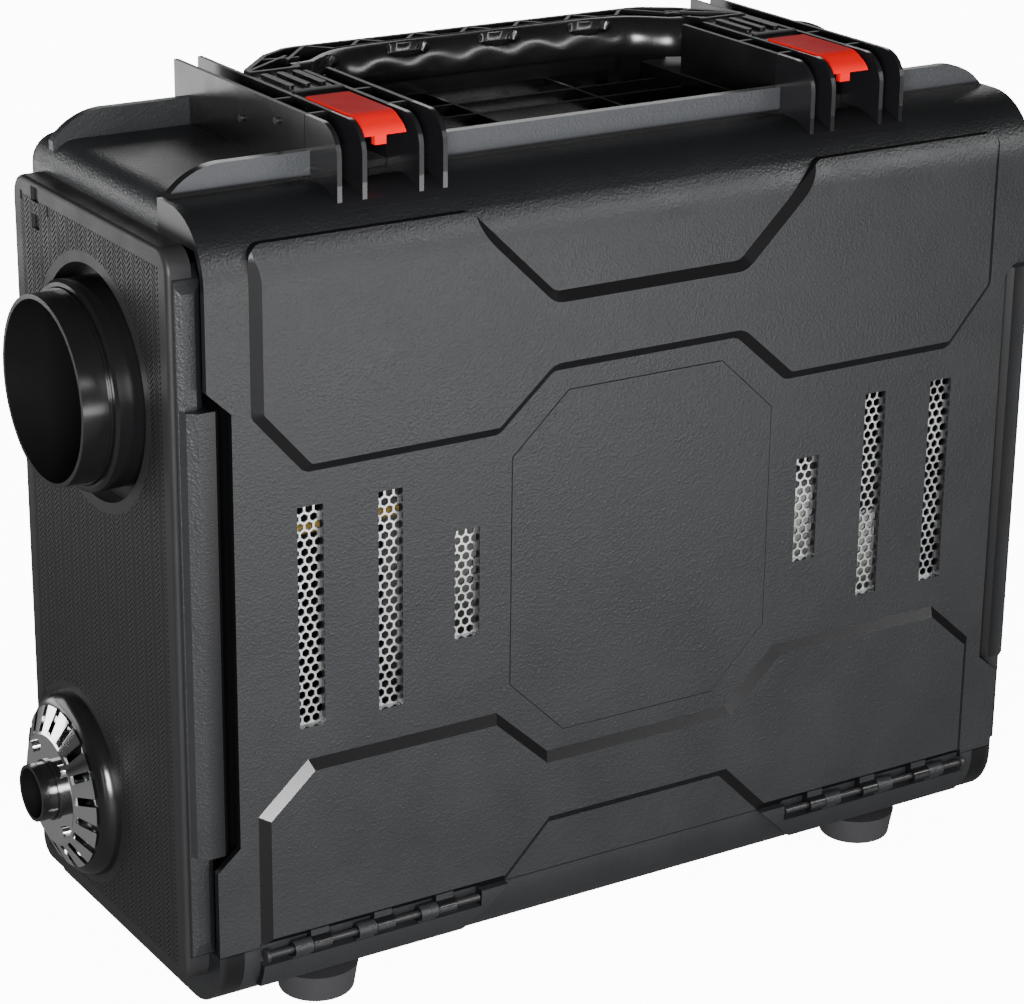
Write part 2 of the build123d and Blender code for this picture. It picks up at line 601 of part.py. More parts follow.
# ---- handle -----------------------------------------------------------------------------------
def carry_handle():
    """Two arms and a bar with angled corners; finger swells on its front, ribs let into its top."""
    inner_x, outer_x = ARM_X
    back = GRIP_BACK_Y + 3
    front = GRIP_PIVOT_Y - 9
    outside = [(outer_x, front), (outer_x, back - 30), (101, back - 9), (88, back - 1), (82, back)]
    inside = [(inner_x, front), (inner_x, PAD_Y[1] + 0.5), (86.5, PAD_Y[1] + 0.5)]
    inside += [(82, 33), (74, 40.5), (62, back - GRIP_BAR)]
    face = make_face(Polyline(*mirrored(outside), close=True))
    face -= make_face(Polyline(*mirrored(inside), close=True))
    bar = along_z(face, GRIP_Z)
    ends = bar.edges().filter_by(Axis.X).filter_by_position(Axis.Y, front - 0.1, front + 0.1)
    bar = fillet(ends, 4.0)
    middle = (GRIP_Z[0] + GRIP_Z[1]) / 2
    for number in range(GRIP_BULGES):
        x = (number - (GRIP_BULGES - 1) / 2) * GRIP_PITCH
        swell = rod_z(x, back - GRIP_BAR + SWELL_R - SWELL_PROUD, SWELL_R, GRIP_Z)
        bar += swell & box((-90, 90), (0, back - 2), GRIP_Z)
    bar -= rod_x(GRIP_PIVOT_Y, middle, PIVOT_R + PIN_FIT, (-SIDE_X, SIDE_X))
    # the sunk pad on each arm, with three raised strips
    for side in (-1, 1):
        pad_x = sorted((side * (inner_x - 1), side * (outer_x + 1)))
        pad = box(pad_x, PAD_Y, (GRIP_Z[1] - PAD_DROP, GRIP_Z[1] + 1))
        for number in range(3):
            x = side * (inner_x + 4.2 + 7 * number)
            strip = box((x - 1.6, x + 1.6), (PAD_Y[0] + 7, PAD_Y[1] - 4), (middle, GRIP_Z[1] + 2))
            pad -= fillet(strip.edges().filter_by(Axis.Z), 1.5)
        bar -= pad
    # the open top, crossed by slanting ribs
    rim = [(inner_x + 3, front), (inner_x + 3, 28), (90, 38), (80, 46), (68, 51), (50, 52.5)]
    open_face = offset(make_face(Polyline(*mirrored(outside), close=True)), -2.2)
    open_face -= make_face(Polyline(*mirrored(rim), close=True))
    trough = along_z(open_face, (GRIP_Z[1] - 9, GRIP_Z[1] + 1))
    for number in range(14):
        x = (number - 6.5) * 13.0
        turn = 42 if number % 2 else -42
        trough -= Pos(x, back - GRIP_BAR / 2, middle) * Rot(0, 0, turn) * Box(1.5, 2 * GRIP_BAR, 30)
    for side in (-1, 1):
        for y, turn in ((36, -35), (46, 10)):
            rib = Rot(0, 0, side * turn) * Box(40, 1.5, 30)
            trough -= Pos(side * (inner_x + outer_x) / 2, y, middle) * rib
    return bar - (trough & box((-SIDE_X, SIDE_X), (PAD_Y[1] + 2, REAR_Y), (0, 2 * CASE_TOP)))


def handle_pin(side):
    middle = (GRIP_Z[0] + GRIP_Z[1]) / 2
    x = sorted((side * (FIN_X[1] - FIN_T / 2), side * (FIN_X[2] + FIN_T / 2)))
    return rod_x(GRIP_PIVOT_Y, middle, PIVOT_R, x)


def hinge_pin(side):
    x = sorted((side * HINGE_X, side * (HINGE_X + HINGE_LEN)))
    cap = sorted((side * (HINGE_X + HINGE_LEN - 1.5), side * (HINGE_X + HINGE_LEN)))
    return rod_x(HINGE_Y, HINGE_Z, PIN_R, x) + rod_x(HINGE_Y, HINGE_Z, PIN_R + 1.2, cap)


# ---- end panels -------------------------------------------------------------------------------
def end_panel(side):
    x = sorted((side * SIDE_X, side * END_FACE_X))
    panel = box(x, (END_FRONT_Y, END_REAR_Y), END_Z)
    panel = fillet(panel.edges().filter_by(Axis.X), END_RADIUS)
    rim = panel.faces().sort_by(Axis.X)[-1 if side > 0 else 0].edges()
    panel = fillet(rim, 2.0)
    for y, z, wide, high in ((46.5, 319, 7, 6), (46.5, 308, 7, 6), (59.5, 316, 2, 4), (34.5, 315, 2, 4)):
        cut = sorted((side * (END_FACE_X - 1.5), side * (END_FACE_X + 1)))
        panel -= box(cut, (y - wide / 2, y + wide / 2), (z - high / 2, z + high / 2))
    if side < 0:
        panel -= rod_x(DUCT_Y, DUCT_Z, RECESS_R, (-END_FACE_X - 1, -END_FACE_X + RECESS_DEPTH))
        panel -= rod_x(DUCT_Y, DUCT_Z, DUCT_OD / 2, (-END_FACE_X - 1, -SIDE_X + 1))
        return panel - rod_x(EXHAUST_Y, EXHAUST_Z, EXHAUST_OD / 2, (-END_FACE_X - 1, -SIDE_X + 1))
    panel -= rod_x(DUCT_Y, DUCT_Z, GRILLE_R - 4, (SIDE_X - 1, END_FACE_X + 1))
    control_y = (CONTROL_Y - 28, CONTROL_Y + 28)
    panel -= box((SIDE_X - 1, END_FACE_X + 1), control_y, (CONTROL_Z - 40, CONTROL_Z + 40))
    return panel


def duct_collar():
    x = (-END_FACE_X - COLLAR_OUT, -END_FACE_X + RECESS_DEPTH)
    ring = rod_x(DUCT_Y, DUCT_Z, COLLAR_R, x) - rod_x(DUCT_Y, DUCT_Z, DUCT_OD / 2, x)
    return chamfer(ring.faces().sort_by(Axis.X)[0].edges(), 1.2)


def tube_x(y, z, outer, wall, x):
    return rod_x(y, z, outer, x) - rod_x(y, z, outer - wall, x)


def outlet_duct():
    """The duct from the heater's jacket out through the end panel, with a bead in front of its collar."""
    mouth = -END_FACE_X - DUCT_OUT
    tube = rod_x(DUCT_Y, DUCT_Z, DUCT_OD / 2, (mouth, CORE_X[0] + CORE_WALL))
    stop = -END_FACE_X - COLLAR_OUT
    tube += rod_x(DUCT_Y, DUCT_Z, DUCT_OD / 2 + BEAD[0], (stop - BEAD[1], stop))
    return tube - rod_x(DUCT_Y, DUCT_Z, DUCT_OD / 2 - DUCT_WALL, (mouth - 1, CORE_X[0] + CORE_WALL + 1))


def exhaust_bell():
    """A low dome with a sunk middle, on the end panel."""
    x = -END_FACE_X
    dome = rod_x(EXHAUST_Y, EXHAUST_Z, BELL_R, (x - BELL_H, x))
    dome = fillet(dome.edges().sort_by(Axis.X)[0], BELL_H - 0.5)
    cup = rod_x(EXHAUST_Y, EXHAUST_Z, SHIELD_R - 7, (x - BELL_H - 1, x - 3))
    return dome - cup - rod_x(EXHAUST_Y, EXHAUST_Z, EXHAUST_OD / 2, (x - BELL_H - 1, x + 1))


def shield_screw_places():
    angles = [math.radians(45 + 90 * number) for number in range(4)]
    return [(EXHAUST_Y + 19.5 * math.cos(a), EXHAUST_Z + 19.5 * math.sin(a)) for a in angles]


def heat_shield():
    """A disc with a ring of twisted fins, standing off the bell on a hub."""
    face_x = -END_FACE_X - BELL_H - SHIELD_RISE
    shield = rod_x(EXHAUST_Y, EXHAUST_Z, SHIELD_DISC_R, (face_x, face_x + SHIELD_T))
    shield += rod_x(EXHAUST_Y, EXHAUST_Z, EXHAUST_OD / 2 + 3, (face_x, -END_FACE_X - 3))
    cone = Pos(face_x + SHIELD_BACK / 2, EXHAUST_Y, EXHAUST_Z) * Rot(0, -90, 0)
    skirt = cone * Cone(SHIELD_R, SHIELD_DISC_R - 0.5, SHIELD_BACK)
    skirt -= Pos(SHIELD_T, 0, 0) * skirt
    for number in range(SHIELD_FINS):
        gap = Pos(0, 0, SHIELD_R) * Box(4 * SHIELD_BACK, 3.6, 2 * (SHIELD_R - SHIELD_DISC_R) - 2)
        skirt -= Pos(face_x, EXHAUST_Y, EXHAUST_Z) * Rot(360 / SHIELD_FINS * number, 0, 0) * gap
    shield += skirt
    for y, z in shield_screw_places():
        shield -= rod_x(y, z, 1.3, (face_x - 1, -END_FACE_X))
    return shield - rod_x(EXHAUST_Y, EXHAUST_Z, EXHAUST_OD / 2, (face_x - 1, -END_FACE_X))


def shield_screws():
    x = -END_FACE_X - BELL_H - SHIELD_RISE
    screws = []
    for y, z in shield_screw_places():
        screws.append(rod_x(y, z, 2.6, (x - 1.6, x)) + rod_x(y, z, 1.3, (x - 0.1, -END_FACE_X - 3)))
    return screws


def exhaust_pipe():
    x_out = -END_FACE_X - EXHAUST_OUT
    points = [(x_out, EXHAUST_Y, EXHAUST_Z), (STUB_X, EXHAUST_Y, EXHAUST_Z), (STUB_X, EXHAUST_Y, STUB_Z)]
    tube = pipe(points, EXHAUST_OD / 2, 2.5 * EXHAUST_OD, EXHAUST_OD / 2 - EXHAUST_WALL)
    stop = -END_FACE_X - BELL_H - SHIELD_RISE
    bead = rod_x(EXHAUST_Y, EXHAUST_Z, EXHAUST_OD / 2 + BEAD[0], (stop - BEAD[1], stop))
    return tube + (bead - rod_x(EXHAUST_Y, EXHAUST_Z, EXHAUST_OD / 2 - 0.5, (stop - 2, stop + 1)))


# ---- heater core ------------------------------------------------------------------------------
def core_half(upper):
    """Half of the air jacket, split along its axis, with a flange on each side."""
    shell = tube_x(DUCT_Y, DUCT_Z, CORE_R, CORE_WALL, CORE_X)
    end = (CORE_X[0], CORE_X[0] + CORE_WALL)
    shell += rod_x(DUCT_Y, DUCT_Z, CORE_R, end) - rod_x(DUCT_Y, DUCT_Z, DUCT_OD / 2, end)
    z = (DUCT_Z, DUCT_Z + FLANGE_T) if upper else (DUCT_Z - FLANGE_T, DUCT_Z)
    for side in (-1, 1):
        y = sorted((DUCT_Y + side * (CORE_R - 1), DUCT_Y + side * (CORE_R + 8)))
        shell += box((CORE_X[0] + 20, CORE_X[1] - 8), y, z)
    for x, y, radius in ((STUB_X, EXHAUST_Y, EXHAUST_OD / 2), (INTAKE_X, INTAKE_Y, INTAKE_OD / 2),
                         (FUEL_X, FUEL_Y, LINE_R)):
        shell -= rod_z(x, y, radius, (DUCT_Z - CORE_R - 2, DUCT_Z - 20))
    z = (DUCT_Z, DUCT_Z + 80) if upper else (DUCT_Z - 80, DUCT_Z)
    return shell & box((CORE_X[0], CORE_X[1]), (-SIDE_X, SIDE_X), z)


def heat_exchanger():
    """Finned pot round the burner, with its exhaust stub; a slotted ring carries it in the jacket."""
    pot = rod_x(DUCT_Y, DUCT_Z, EXCHANGER_R, EXCHANGER_X)
    pot -= rod_x(DUCT_Y, DUCT_Z, EXCHANGER_R - 3, (EXCHANGER_X[0] + 3, EXCHANGER_X[1] + 1))
    reach = CORE_R - CORE_WALL - 3 - EXCHANGER_R
    for number in range(COOLING_FINS):
        fin = Box(EXCHANGER_X[1] - EXCHANGER_X[0] - 8, 2, reach + 1)
        fin = Pos(0, 0, EXCHANGER_R + reach / 2 - 0.5) * fin
        middle = (EXCHANGER_X[0] + EXCHANGER_X[1]) / 2
        pot += Pos(middle, DUCT_Y, DUCT_Z) * Rot(360 / COOLING_FINS * number, 0, 0) * fin
    ring = (EXCHANGER_X[1] - 3, EXCHANGER_X[1])
    pot += rod_x(DUCT_Y, DUCT_Z, CORE_R - CORE_WALL, ring) - rod_x(DUCT_Y, DUCT_Z, EXCHANGER_R - 3, ring)
    for number in range(8):
        slot = Pos(0, 0, EXCHANGER_R + 6.5) * Box(10, 17, 9)
        pot -= Pos(EXCHANGER_X[1] - 1, DUCT_Y, DUCT_Z) * Rot(45 * number + 22.5, 0, 0) * slot
    pot += rod_z(STUB_X, EXHAUST_Y, EXHAUST_OD / 2, (STUB_Z, DUCT_Z - 10))
    pot -= rod_z(STUB_X, EXHAUST_Y, EXHAUST_OD / 2 - EXHAUST_WALL, (STUB_Z - 1, DUCT_Z - 12))
    return pot


def combustion_chamber():
    """Flame tube and its base plate, with the air inlet stub and the fuel inlet."""
    tube = tube_x(DUCT_Y, DUCT_Z, BURNER_R, 1.5, BURNER_X)
    plate = (EXCHANGER_X[1], EXCHANGER_X[1] + BURNER_PLATE)
    tube += rod_x(DUCT_Y, DUCT_Z, EXCHANGER_R, plate) - rod_x(DUCT_Y, DUCT_Z, 8, plate)
    neck = (BURNER_X[1], plate[0])
    tube += rod_x(DUCT_Y, DUCT_Z, BURNER_R, neck) - rod_x(DUCT_Y, DUCT_Z, 8, neck)
    tube -= rod_z(FUEL_X, FUEL_Y, LINE_R, (DUCT_Z - 60, DUCT_Z - 24))
    return tube - rod_x(DUCT_Y, DUCT_Z + GLOW_UP, 2.5, (BURNER_X[1] - 1, plate[1] + 1))


def blower_housing():
    """Drum round the combustion fan; its inlet elbow leaves through the jacket."""
    x = (EXCHANGER_X[1] + BURNER_PLATE, BLOWER_X[1] + 6)
    drum = tube_x(DUCT_Y, DUCT_Z, BLOWER_R + 4, 2, x)
    for end in ((x[0], x[0] + 2), (x[1] - 2, x[1])):
        drum += rod_x(DUCT_Y, DUCT_Z, BLOWER_R + 4, end) - rod_x(DUCT_Y, DUCT_Z, 12, end)
    drum += rod_z(INTAKE_X, INTAKE_Y, INTAKE_OD / 2, (STUB_Z, DUCT_Z - 26))
    drum -= rod_z(INTAKE_X, INTAKE_Y, INTAKE_OD / 2 - 1.5, (STUB_Z - 1, DUCT_Z - 24))
    drum -= rod_x(DUCT_Y, DUCT_Z, BLOWER_R + 2, (x[0] + 2, x[1] - 2))
    for number in range(3):
        arm_z = (BLOWER_R + 3, CORE_R - CORE_WALL)
        arm = Pos(0, 0, sum(arm_z) / 2) * Box(6, 8, arm_z[1] - arm_z[0])
        place = Pos((x[0] + x[1]) / 2, DUCT_Y, DUCT_Z) * Rot(120 * number, 0, 0)
        drum += (place * arm) & rod_x(DUCT_Y, DUCT_Z, CORE_R - CORE_WALL, x)
    return drum


def fan_motor():
    """Motor can with a bore for its shaft, held in the jacket by three arms."""
    can = rod_x(DUCT_Y, DUCT_Z, MOTOR_R, MOTOR_X)
    for number in range(3):
        arm = Pos(0, 0, (MOTOR_R - 1 + CORE_R) / 2) * Box(8, 6, CORE_R - MOTOR_R + 1)
        place = Pos((MOTOR_X[0] + MOTOR_X[1]) / 2, DUCT_Y, DUCT_Z) * Rot(120 * number, 0, 0)
        can += (place * arm) & rod_x(DUCT_Y, DUCT_Z, CORE_R - CORE_WALL, MOTOR_X)
    return can - rod_x(DUCT_Y, DUCT_Z, SHAFT_R + SHAFT_FIT, (MOTOR_X[0] - 1, MOTOR_X[1] + 1))


def bladed(hub_r, tip_r, x, count, pitch):
    """A hub with flat twisted blades, bored for the shaft."""
    wheel = rod_x(DUCT_Y, DUCT_Z, hub_r, x)
    wide = x[1] - x[0]
    for number in range(count):
        blade = Rot(0, 0, pitch) * Box(wide * 0.8, 1.6, tip_r - hub_r + 1)
        blade = Pos(0, 0, (hub_r + tip_r) / 2 - 0.5) * blade
        wheel += Pos((x[0] + x[1]) / 2, DUCT_Y, DUCT_Z) * Rot(360 / count * number, 0, 0) * blade
    return wheel - rod_x(DUCT_Y, DUCT_Z, SHAFT_R, (x[0] - 1, x[1] + 1))


def core_cradle(x):
    """Bracket from the rear wall with a saddle under the jacket."""
    wall = REAR_Y - WALL
    seat = box((x - 2.5, x + 2.5), (DUCT_Y - 22, wall), (DUCT_Z - CORE_R - 3, DUCT_Z - FLANGE_T))
    seat += box((x - 14, x + 14), (wall - 3, wall), (DUCT_Z - CORE_R - 15, DUCT_Z + 45))
    return seat - rod_x(DUCT_Y, DUCT_Z, CORE_R, (x - 4, x + 4)) - box(
        (x - 4, x + 4), (DUCT_Y + 30, DUCT_Y + CORE_R + 9), (DUCT_Z - FLANGE_T - 1, DUCT_Z))


# ---- fuel system ------------------------------------------------------------------------------
NECK = Pos(NECK_X, TANK_Y[0] + 7, TANK_Z[1] - 7) * Rot(45, 0, 0)


def fuel_tank():
    """A closed box with rounded edges, a slanted filler neck and an outlet stub."""
    tank = fillet(box(TANK_X, TANK_Y, TANK_Z).edges(), 9.0)
    tank += NECK * Pos(0, 0, 9) * Cylinder(NECK_R, 18)
    inner = [(a + TANK_WALL, b - TANK_WALL) for a, b in (TANK_X, TANK_Y, TANK_Z)]
    tank -= fillet(box(*inner).edges(), 9.0 - TANK_WALL)
    tank -= NECK * Pos(0, 0, 9) * Cylinder(NECK_R - TANK_WALL, 24)
    tank += rod_x(PUMP_Y, PUMP_Z, LINE_R, (TANK_X[0] - STUB_L, TANK_X[0] + 4))
    return tank - rod_x(PUMP_Y, PUMP_Z, 1.2, (TANK_X[0] - STUB_L - 1, TANK_X[0] + 5))


def fuel_cap():
    """A quarter-turn cap over the neck, with grips round its edge."""
    cap = NECK * Pos(0, 0, 18 + CAP_H / 2 - 9) * Cylinder(CAP_R, CAP_H)
    cap -= NECK * Pos(0, 0, 9) * Cylinder(NECK_R + CAP_FIT, 18 + 2 * CAP_LIFT)
    for number in range(12):
        groove = Rot(0, 0, 30 * number) * Pos(CAP_R + 0.8, 0, 18 + CAP_H / 2 - 9) * Cylinder(2, CAP_H + 2)
        cap -= NECK * groove
    return cap


def tank_strap():
    """A flat band over the tank from the rear wall to the floor."""
    x = STRAP_X
    front, top = TANK_Y[0] - STRAP_T, TANK_Z[1] + STRAP_T
    band = box(x, (front, REAR_Y - WALL), (FOOT_H + WALL, top))
    edge = band.edges().filter_by(Axis.X).sort_by(Axis.Z)[-2:].sort_by(Axis.Y)[0]
    band = fillet(edge, 9.0 + STRAP_T)
    core = box(x, (TANK_Y[0], REAR_Y - WALL + 1), (FOOT_H, TANK_Z[1]))
    edge = core.edges().filter_by(Axis.X).sort_by(Axis.Z)[-2:].sort_by(Axis.Y)[0]
    band -= fillet(edge, 9.0)
    band += box(x, (front - 14, front + 1), (FOOT_H + WALL, FOOT_H + WALL + STRAP_T))
    return band + box(x, (REAR_Y - WALL - STRAP_T, REAR_Y - WALL), (TANK_Z[1], top + 14))


def fuel_pump():
    body = rod_x(PUMP_Y, PUMP_Z, PUMP_R, PUMP_X)
    body += rod_x(PUMP_Y, PUMP_Z, PUMP_R - 4, (PUMP_X[0] - 8, PUMP_X[1] + 8))
    return body + rod_x(PUMP_Y, PUMP_Z, LINE_R, (PUMP_X[0] - 8 - STUB_L, PUMP_X[1] + 8 + STUB_L))


def pump_clip():
    middle = (PUMP_X[0] + PUMP_X[1]) / 2
    x = (middle - 9, middle + 9)
    clip = box(x, (PUMP_Y - PUMP_R - 3, PUMP_Y + PUMP_R + 3), (FOOT_H + WALL, PUMP_Z + 5))
    clip += box(x, (PUMP_Y - PUMP_R - 14, PUMP_Y + PUMP_R + 14), (FOOT_H + WALL, FOOT_H + WALL + 3))
    return clip - rod_x(PUMP_Y, PUMP_Z, PUMP_R, x)


def fuel_filter():
    body = rod_x(PUMP_Y, PUMP_Z, FILTER_R, FILTER_X)
    return body + rod_x(PUMP_Y, PUMP_Z, LINE_R, (FILTER_X[0] - STUB_L, FILTER_X[1] + STUB_L))


def hose(x):
    """A short straight hose over two stubs."""
    return rod_x(PUMP_Y, PUMP_Z, LINE_R + 1.2, x) - rod_x(PUMP_Y, PUMP_Z, LINE_R, x)


def fuel_line():
    """The metering line from the pump, round and up to the burner."""
    start = PUMP_X[0] - 8 - STUB_L
    turn = start - 19
    points = [(start, PUMP_Y, PUMP_Z), (turn, PUMP_Y, PUMP_Z), (turn, PUMP_Y, LINE_Z)]
    points += [(FUEL_X, FUEL_Y, LINE_Z), (FUEL_X, FUEL_Y, DUCT_Z - 24)]
    return pipe(points, LINE_R, LINE_BEND)


def intake_pipe():
    corner = (INTAKE_X, INTAKE_Y, SILENCER_Z)
    points = [(INTAKE_X, INTAKE_Y, STUB_Z), corner, (SILENCER_X[0], INTAKE_Y, SILENCER_Z)]
    return pipe(points, INTAKE_OD / 2, 14.0, INTAKE_OD / 2 - 1.5)


def intake_silencer():
    can = tube_x(INTAKE_Y, SILENCER_Z, SILENCER_R, 1.5, SILENCER_X)
    for end in ((SILENCER_X[0], SILENCER_X[0] + 2), (SILENCER_X[1] - 2, SILENCER_X[1])):
        can += rod_x(INTAKE_Y, SILENCER_Z, SILENCER_R, end) - rod_x(INTAKE_Y, SILENCER_Z, 7, end)
    return can


# ---- controls ---------------------------------------------------------------------------------
def button_places():
    """Height and side place of the four buttons under the screen."""
    y = (CONTROL_Y - 17, CONTROL_Y + 17)
    z = (CONTROL_Z - 12, CONTROL_Z - 32)
    return {"power": (y[0], z[0]), "up": (y[1], z[0]), "set": (y[0], z[1]), "down": (y[1], z[1])}


def control_bezel():
    wide, high, thick = BEZEL
    x = (END_FACE_X, END_FACE_X + thick)
    plate = box(x, (CONTROL_Y - wide / 2, CONTROL_Y + wide / 2), (CONTROL_Z - high / 2, CONTROL_Z + high / 2))
    plate = fillet(plate.edges().filter_by(Axis.X), 6.0)
    plate = fillet(plate.faces().sort_by(Axis.X)[-1].edges(), 1.2)
    y = (CONTROL_Y - SCREEN[0] / 2, CONTROL_Y + SCREEN[0] / 2)
    z = (SCREEN_Z - SCREEN[1] / 2, SCREEN_Z + SCREEN[1] / 2)
    plate -= box((x[1] - SCREEN[2], x[1] + 1), y, z)
    for y, z in button_places().values():
        plate -= rod_x(y, z, BUTTON_R + BUTTON_FIT, (x[0] - 1, x[1] + 1))
    for y in (CONTROL_Y - 26, CONTROL_Y + 26):
        rail_z = (CONTROL_Z - 38, CONTROL_Z + 38)
        plate += box((END_FACE_X - BOARD_GAP, x[0] + 0.1), (y - 1.2, y + 1.2), rail_z)
    return plate


def display_window():
    x = (END_FACE_X + BEZEL[2] - SCREEN[2], END_FACE_X + BEZEL[2])
    y = (CONTROL_Y - SCREEN[0] / 2, CONTROL_Y + SCREEN[0] / 2)
    return box(x, y, (SCREEN_Z - SCREEN[1] / 2, SCREEN_Z + SCREEN[1] / 2))


def control_switches():
    x = (END_FACE_X - BOARD_GAP - 1.6, END_FACE_X - BOARD_GAP)
    board = box(x, (CONTROL_Y - 27, CONTROL_Y + 27), (CONTROL_Z - 38, CONTROL_Z + 38))
    for y, z in button_places().values():
        board += box((x[1], x[1] + 1.5), (y - 3, y + 3), (z - 3, z + 3))
    return board


def button(y, z):
    """A round button with a flange behind the bezel."""
    stem = rod_x(y, z, BUTTON_R, (END_FACE_X - 0.3, END_FACE_X + BEZEL[2] + BUTTON_PROUD))
    stem = fillet(stem.edges().sort_by(Axis.X)[-1], 0.8)
    return stem + rod_x(y, z, BUTTON_R + 1.2, (END_FACE_X - 1.3, END_FACE_X - 0.3))


def power_socket():
    x = (END_FACE_X, END_FACE_X + SOCKET_OUT)
    body = rod_x(CONTROL_Y, SOCKET_Z, SOCKET_R, x)
    body -= rod_x(CONTROL_Y, SOCKET_Z, SOCKET_R - 2.5, (x[0] + 2, x[1]))
    return body


def intake_grille():
    x = (END_FACE_X, END_FACE_X + GRILLE_OUT)
    disc = fillet(rod_x(DUCT_Y, DUCT_Z, GRILLE_R, x).edges().sort_by(Axis.X)[-1], 1.5)
    for row in range(-4, 5):
        half = math.sqrt((GRILLE_R - 7) ** 2 - (row * 8) ** 2) - 3
        z = DUCT_Z + row * 8
        disc -= box((x[0] - 1, x[1] + 1), (DUCT_Y - half, DUCT_Y + half), (z - 2.4, z + 2.4))
    return disc


def control_board():
    """The heater's own circuit board, on four posts from the rear wall."""
    wall = REAR_Y - WALL
    board = box(BOARD_X, (wall - 6.6, wall - 5), BOARD_Z)
    for x in (BOARD_X[0] + 4, BOARD_X[1] - 4):
        for z in (BOARD_Z[0] + 4, BOARD_Z[1] - 4):
            board += rod_y(x, z, 2.5, (wall - 5.1, wall))
    for x, z, wide, high, deep in ((-40, 270, 18, 14, 5), (-10, 240, 12, 12, 3), (20, 268, 22, 10, 6)):
        block_y = (wall - 6.6 - deep, wall - 6.5)
        board += box((x - wide / 2, x + wide / 2), block_y, (z - high / 2, z + high / 2))
    return board


def feet():
    pads = []
    for x in (-FOOT_X, FOOT_X):
        for y in (-FOOT_Y, FOOT_Y):
            pad = Pos(x, y, FOOT_H / 2) * Rot(180, 0, 0) * Cone(FOOT_R, FOOT_R - 2, FOOT_H)
            pad = fillet(pad.edges().sort_by(Axis.Z)[0], 1.5)
            pads.append(pad - rod_z(x, y, SCREW_R, (-1, FOOT_H + 1)) - rod_z(x, y, 6, (-1, 5)))
    return pads


def foot_screws():
    screws = []
    for x in (-FOOT_X, FOOT_X):
        for y in (-FOOT_Y, FOOT_Y):
            head = rod_z(x, y, 4.5, (2.4, 5))
            screws.append(head + rod_z(x, y, SCREW_R, (4.9, FOOT_H + WALL)))
    return screws


def block_screws():
    """Two screw heads on the outer side of each latch block."""
    heads = []
    for side in (-1, 1):
        face = FIN_X[3] + FIN_T / 2
        for y, z in BLOCK_SCREWS:
            x = sorted((side * face, side * (face + BLOCK_SCREW_H)))
            heads.append(rod_x(y, z, BLOCK_SCREW_R, x))
    return heads


for name, side in (("left", -1), ("right", 1)):
    save(vent_mesh(side), f"vent_mesh_{name}")
    save(latch(side), f"latch_{name}")
    save(latch_pin(side), f"latch_pin_{name}")
    save(handle_pin(side), f"handle_pin_{name}")
    save(hinge_pin(side), f"hinge_pin_{name}")
    save(end_panel(side), f"end_panel_{name}")
save(front_cover(), "front_cover")
save(badge_plate(), "badge_plate")
save(rear_shell(), "rear_shell")
save(top_deck(), "top_deck")
save(carry_handle(), "carry_handle")
save(duct_collar(), "duct_collar")
save(outlet_duct(), "outlet_duct")
save(exhaust_bell(), "exhaust_bell")
save(heat_shield(), "heat_shield")
save(Compound(shield_screws()), "shield_screws")
save(exhaust_pipe(), "exhaust_pipe")
save(core_half(True), "heater_case_upper")
save(core_half(False), "heater_case_lower")
save(heat_exchanger(), "heat_exchanger")
save(combustion_chamber(), "combustion_chamber")
save(blower_housing(), "blower_housing")
save(fan_motor(), "fan_motor")
save(rod_x(DUCT_Y, DUCT_Z, SHAFT_R, (BLOWER_X[0] - 3, FAN_X[1] + 3)), "motor_shaft")
save(bladed(14, FAN_R, FAN_X, BLADES, 40), "hot_air_fan")
save(bladed(12, BLOWER_R, BLOWER_X, 16, 0), "combustion_fan")
save(core_cradle(-130.0), "core_cradle_left")
save(core_cradle(110.0), "core_cradle_right")
save(rod_x(DUCT_Y, DUCT_Z + GLOW_UP, 2.5, (-30, EXCHANGER_X[1] + BURNER_PLATE)), "glow_plug")
save(box((-104, -84), (DUCT_Y - 8, DUCT_Y + 8), (DUCT_Z + CORE_R - 2, DUCT_Z + CORE_R + 6))
     - rod_x(DUCT_Y, DUCT_Z, CORE_R, (-110, -80)), "overheat_sensor")
save(fuel_tank(), "fuel_tank")
save(fuel_cap(), "fuel_cap")
save(tank_strap(), "tank_strap")
save(fuel_pump(), "fuel_pump")
save(pump_clip(), "pump_clip")
save(fuel_filter(), "fuel_filter")
save(hose((TANK_X[0] - STUB_L - 4, TANK_X[0] - 1)) + hose((FILTER_X[1] + 1, TANK_X[0] - STUB_L)), "tank_hose")
save(hose((PUMP_X[1] + 8 + 1, FILTER_X[0] - 1)), "pump_hose")
save(fuel_line(), "fuel_line")
save(intake_pipe(), "intake_pipe")
save(intake_silencer(), "intake_silencer")
save(control_bezel(), "control_bezel")
save(display_window(), "display_window")
save(control_switches(), "control_switches")
for name, (y, z) in button_places().items():
    save(button(y, z), f"button_{name}")
save(power_socket(), "power_socket")
save(intake_grille(), "intake_grille")
save(control_board(), "control_board")
save(Compound(feet()), "feet")
save(Compound(foot_screws()), "foot_screws")
save(Compound(block_screws()), "block_screws")
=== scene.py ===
import bmesh
import bpy
import math
from mathutils import Matrix, Vector


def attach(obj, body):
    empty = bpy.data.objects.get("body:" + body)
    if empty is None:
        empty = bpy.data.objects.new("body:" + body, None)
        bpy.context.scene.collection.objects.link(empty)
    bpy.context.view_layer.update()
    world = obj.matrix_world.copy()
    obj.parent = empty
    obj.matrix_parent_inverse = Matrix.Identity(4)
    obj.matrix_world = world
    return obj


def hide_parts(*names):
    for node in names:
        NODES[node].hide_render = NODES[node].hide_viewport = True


# The looks of a diesel air heater in a carry case: finishes, the rounded hand grip, floor, camera and
# light. Places are millimetres about the middle of the case, with z = 0 under the feet, and at() turns
# them into the frame's metres. Shader values are in metres, as Blender's object coordinates are.

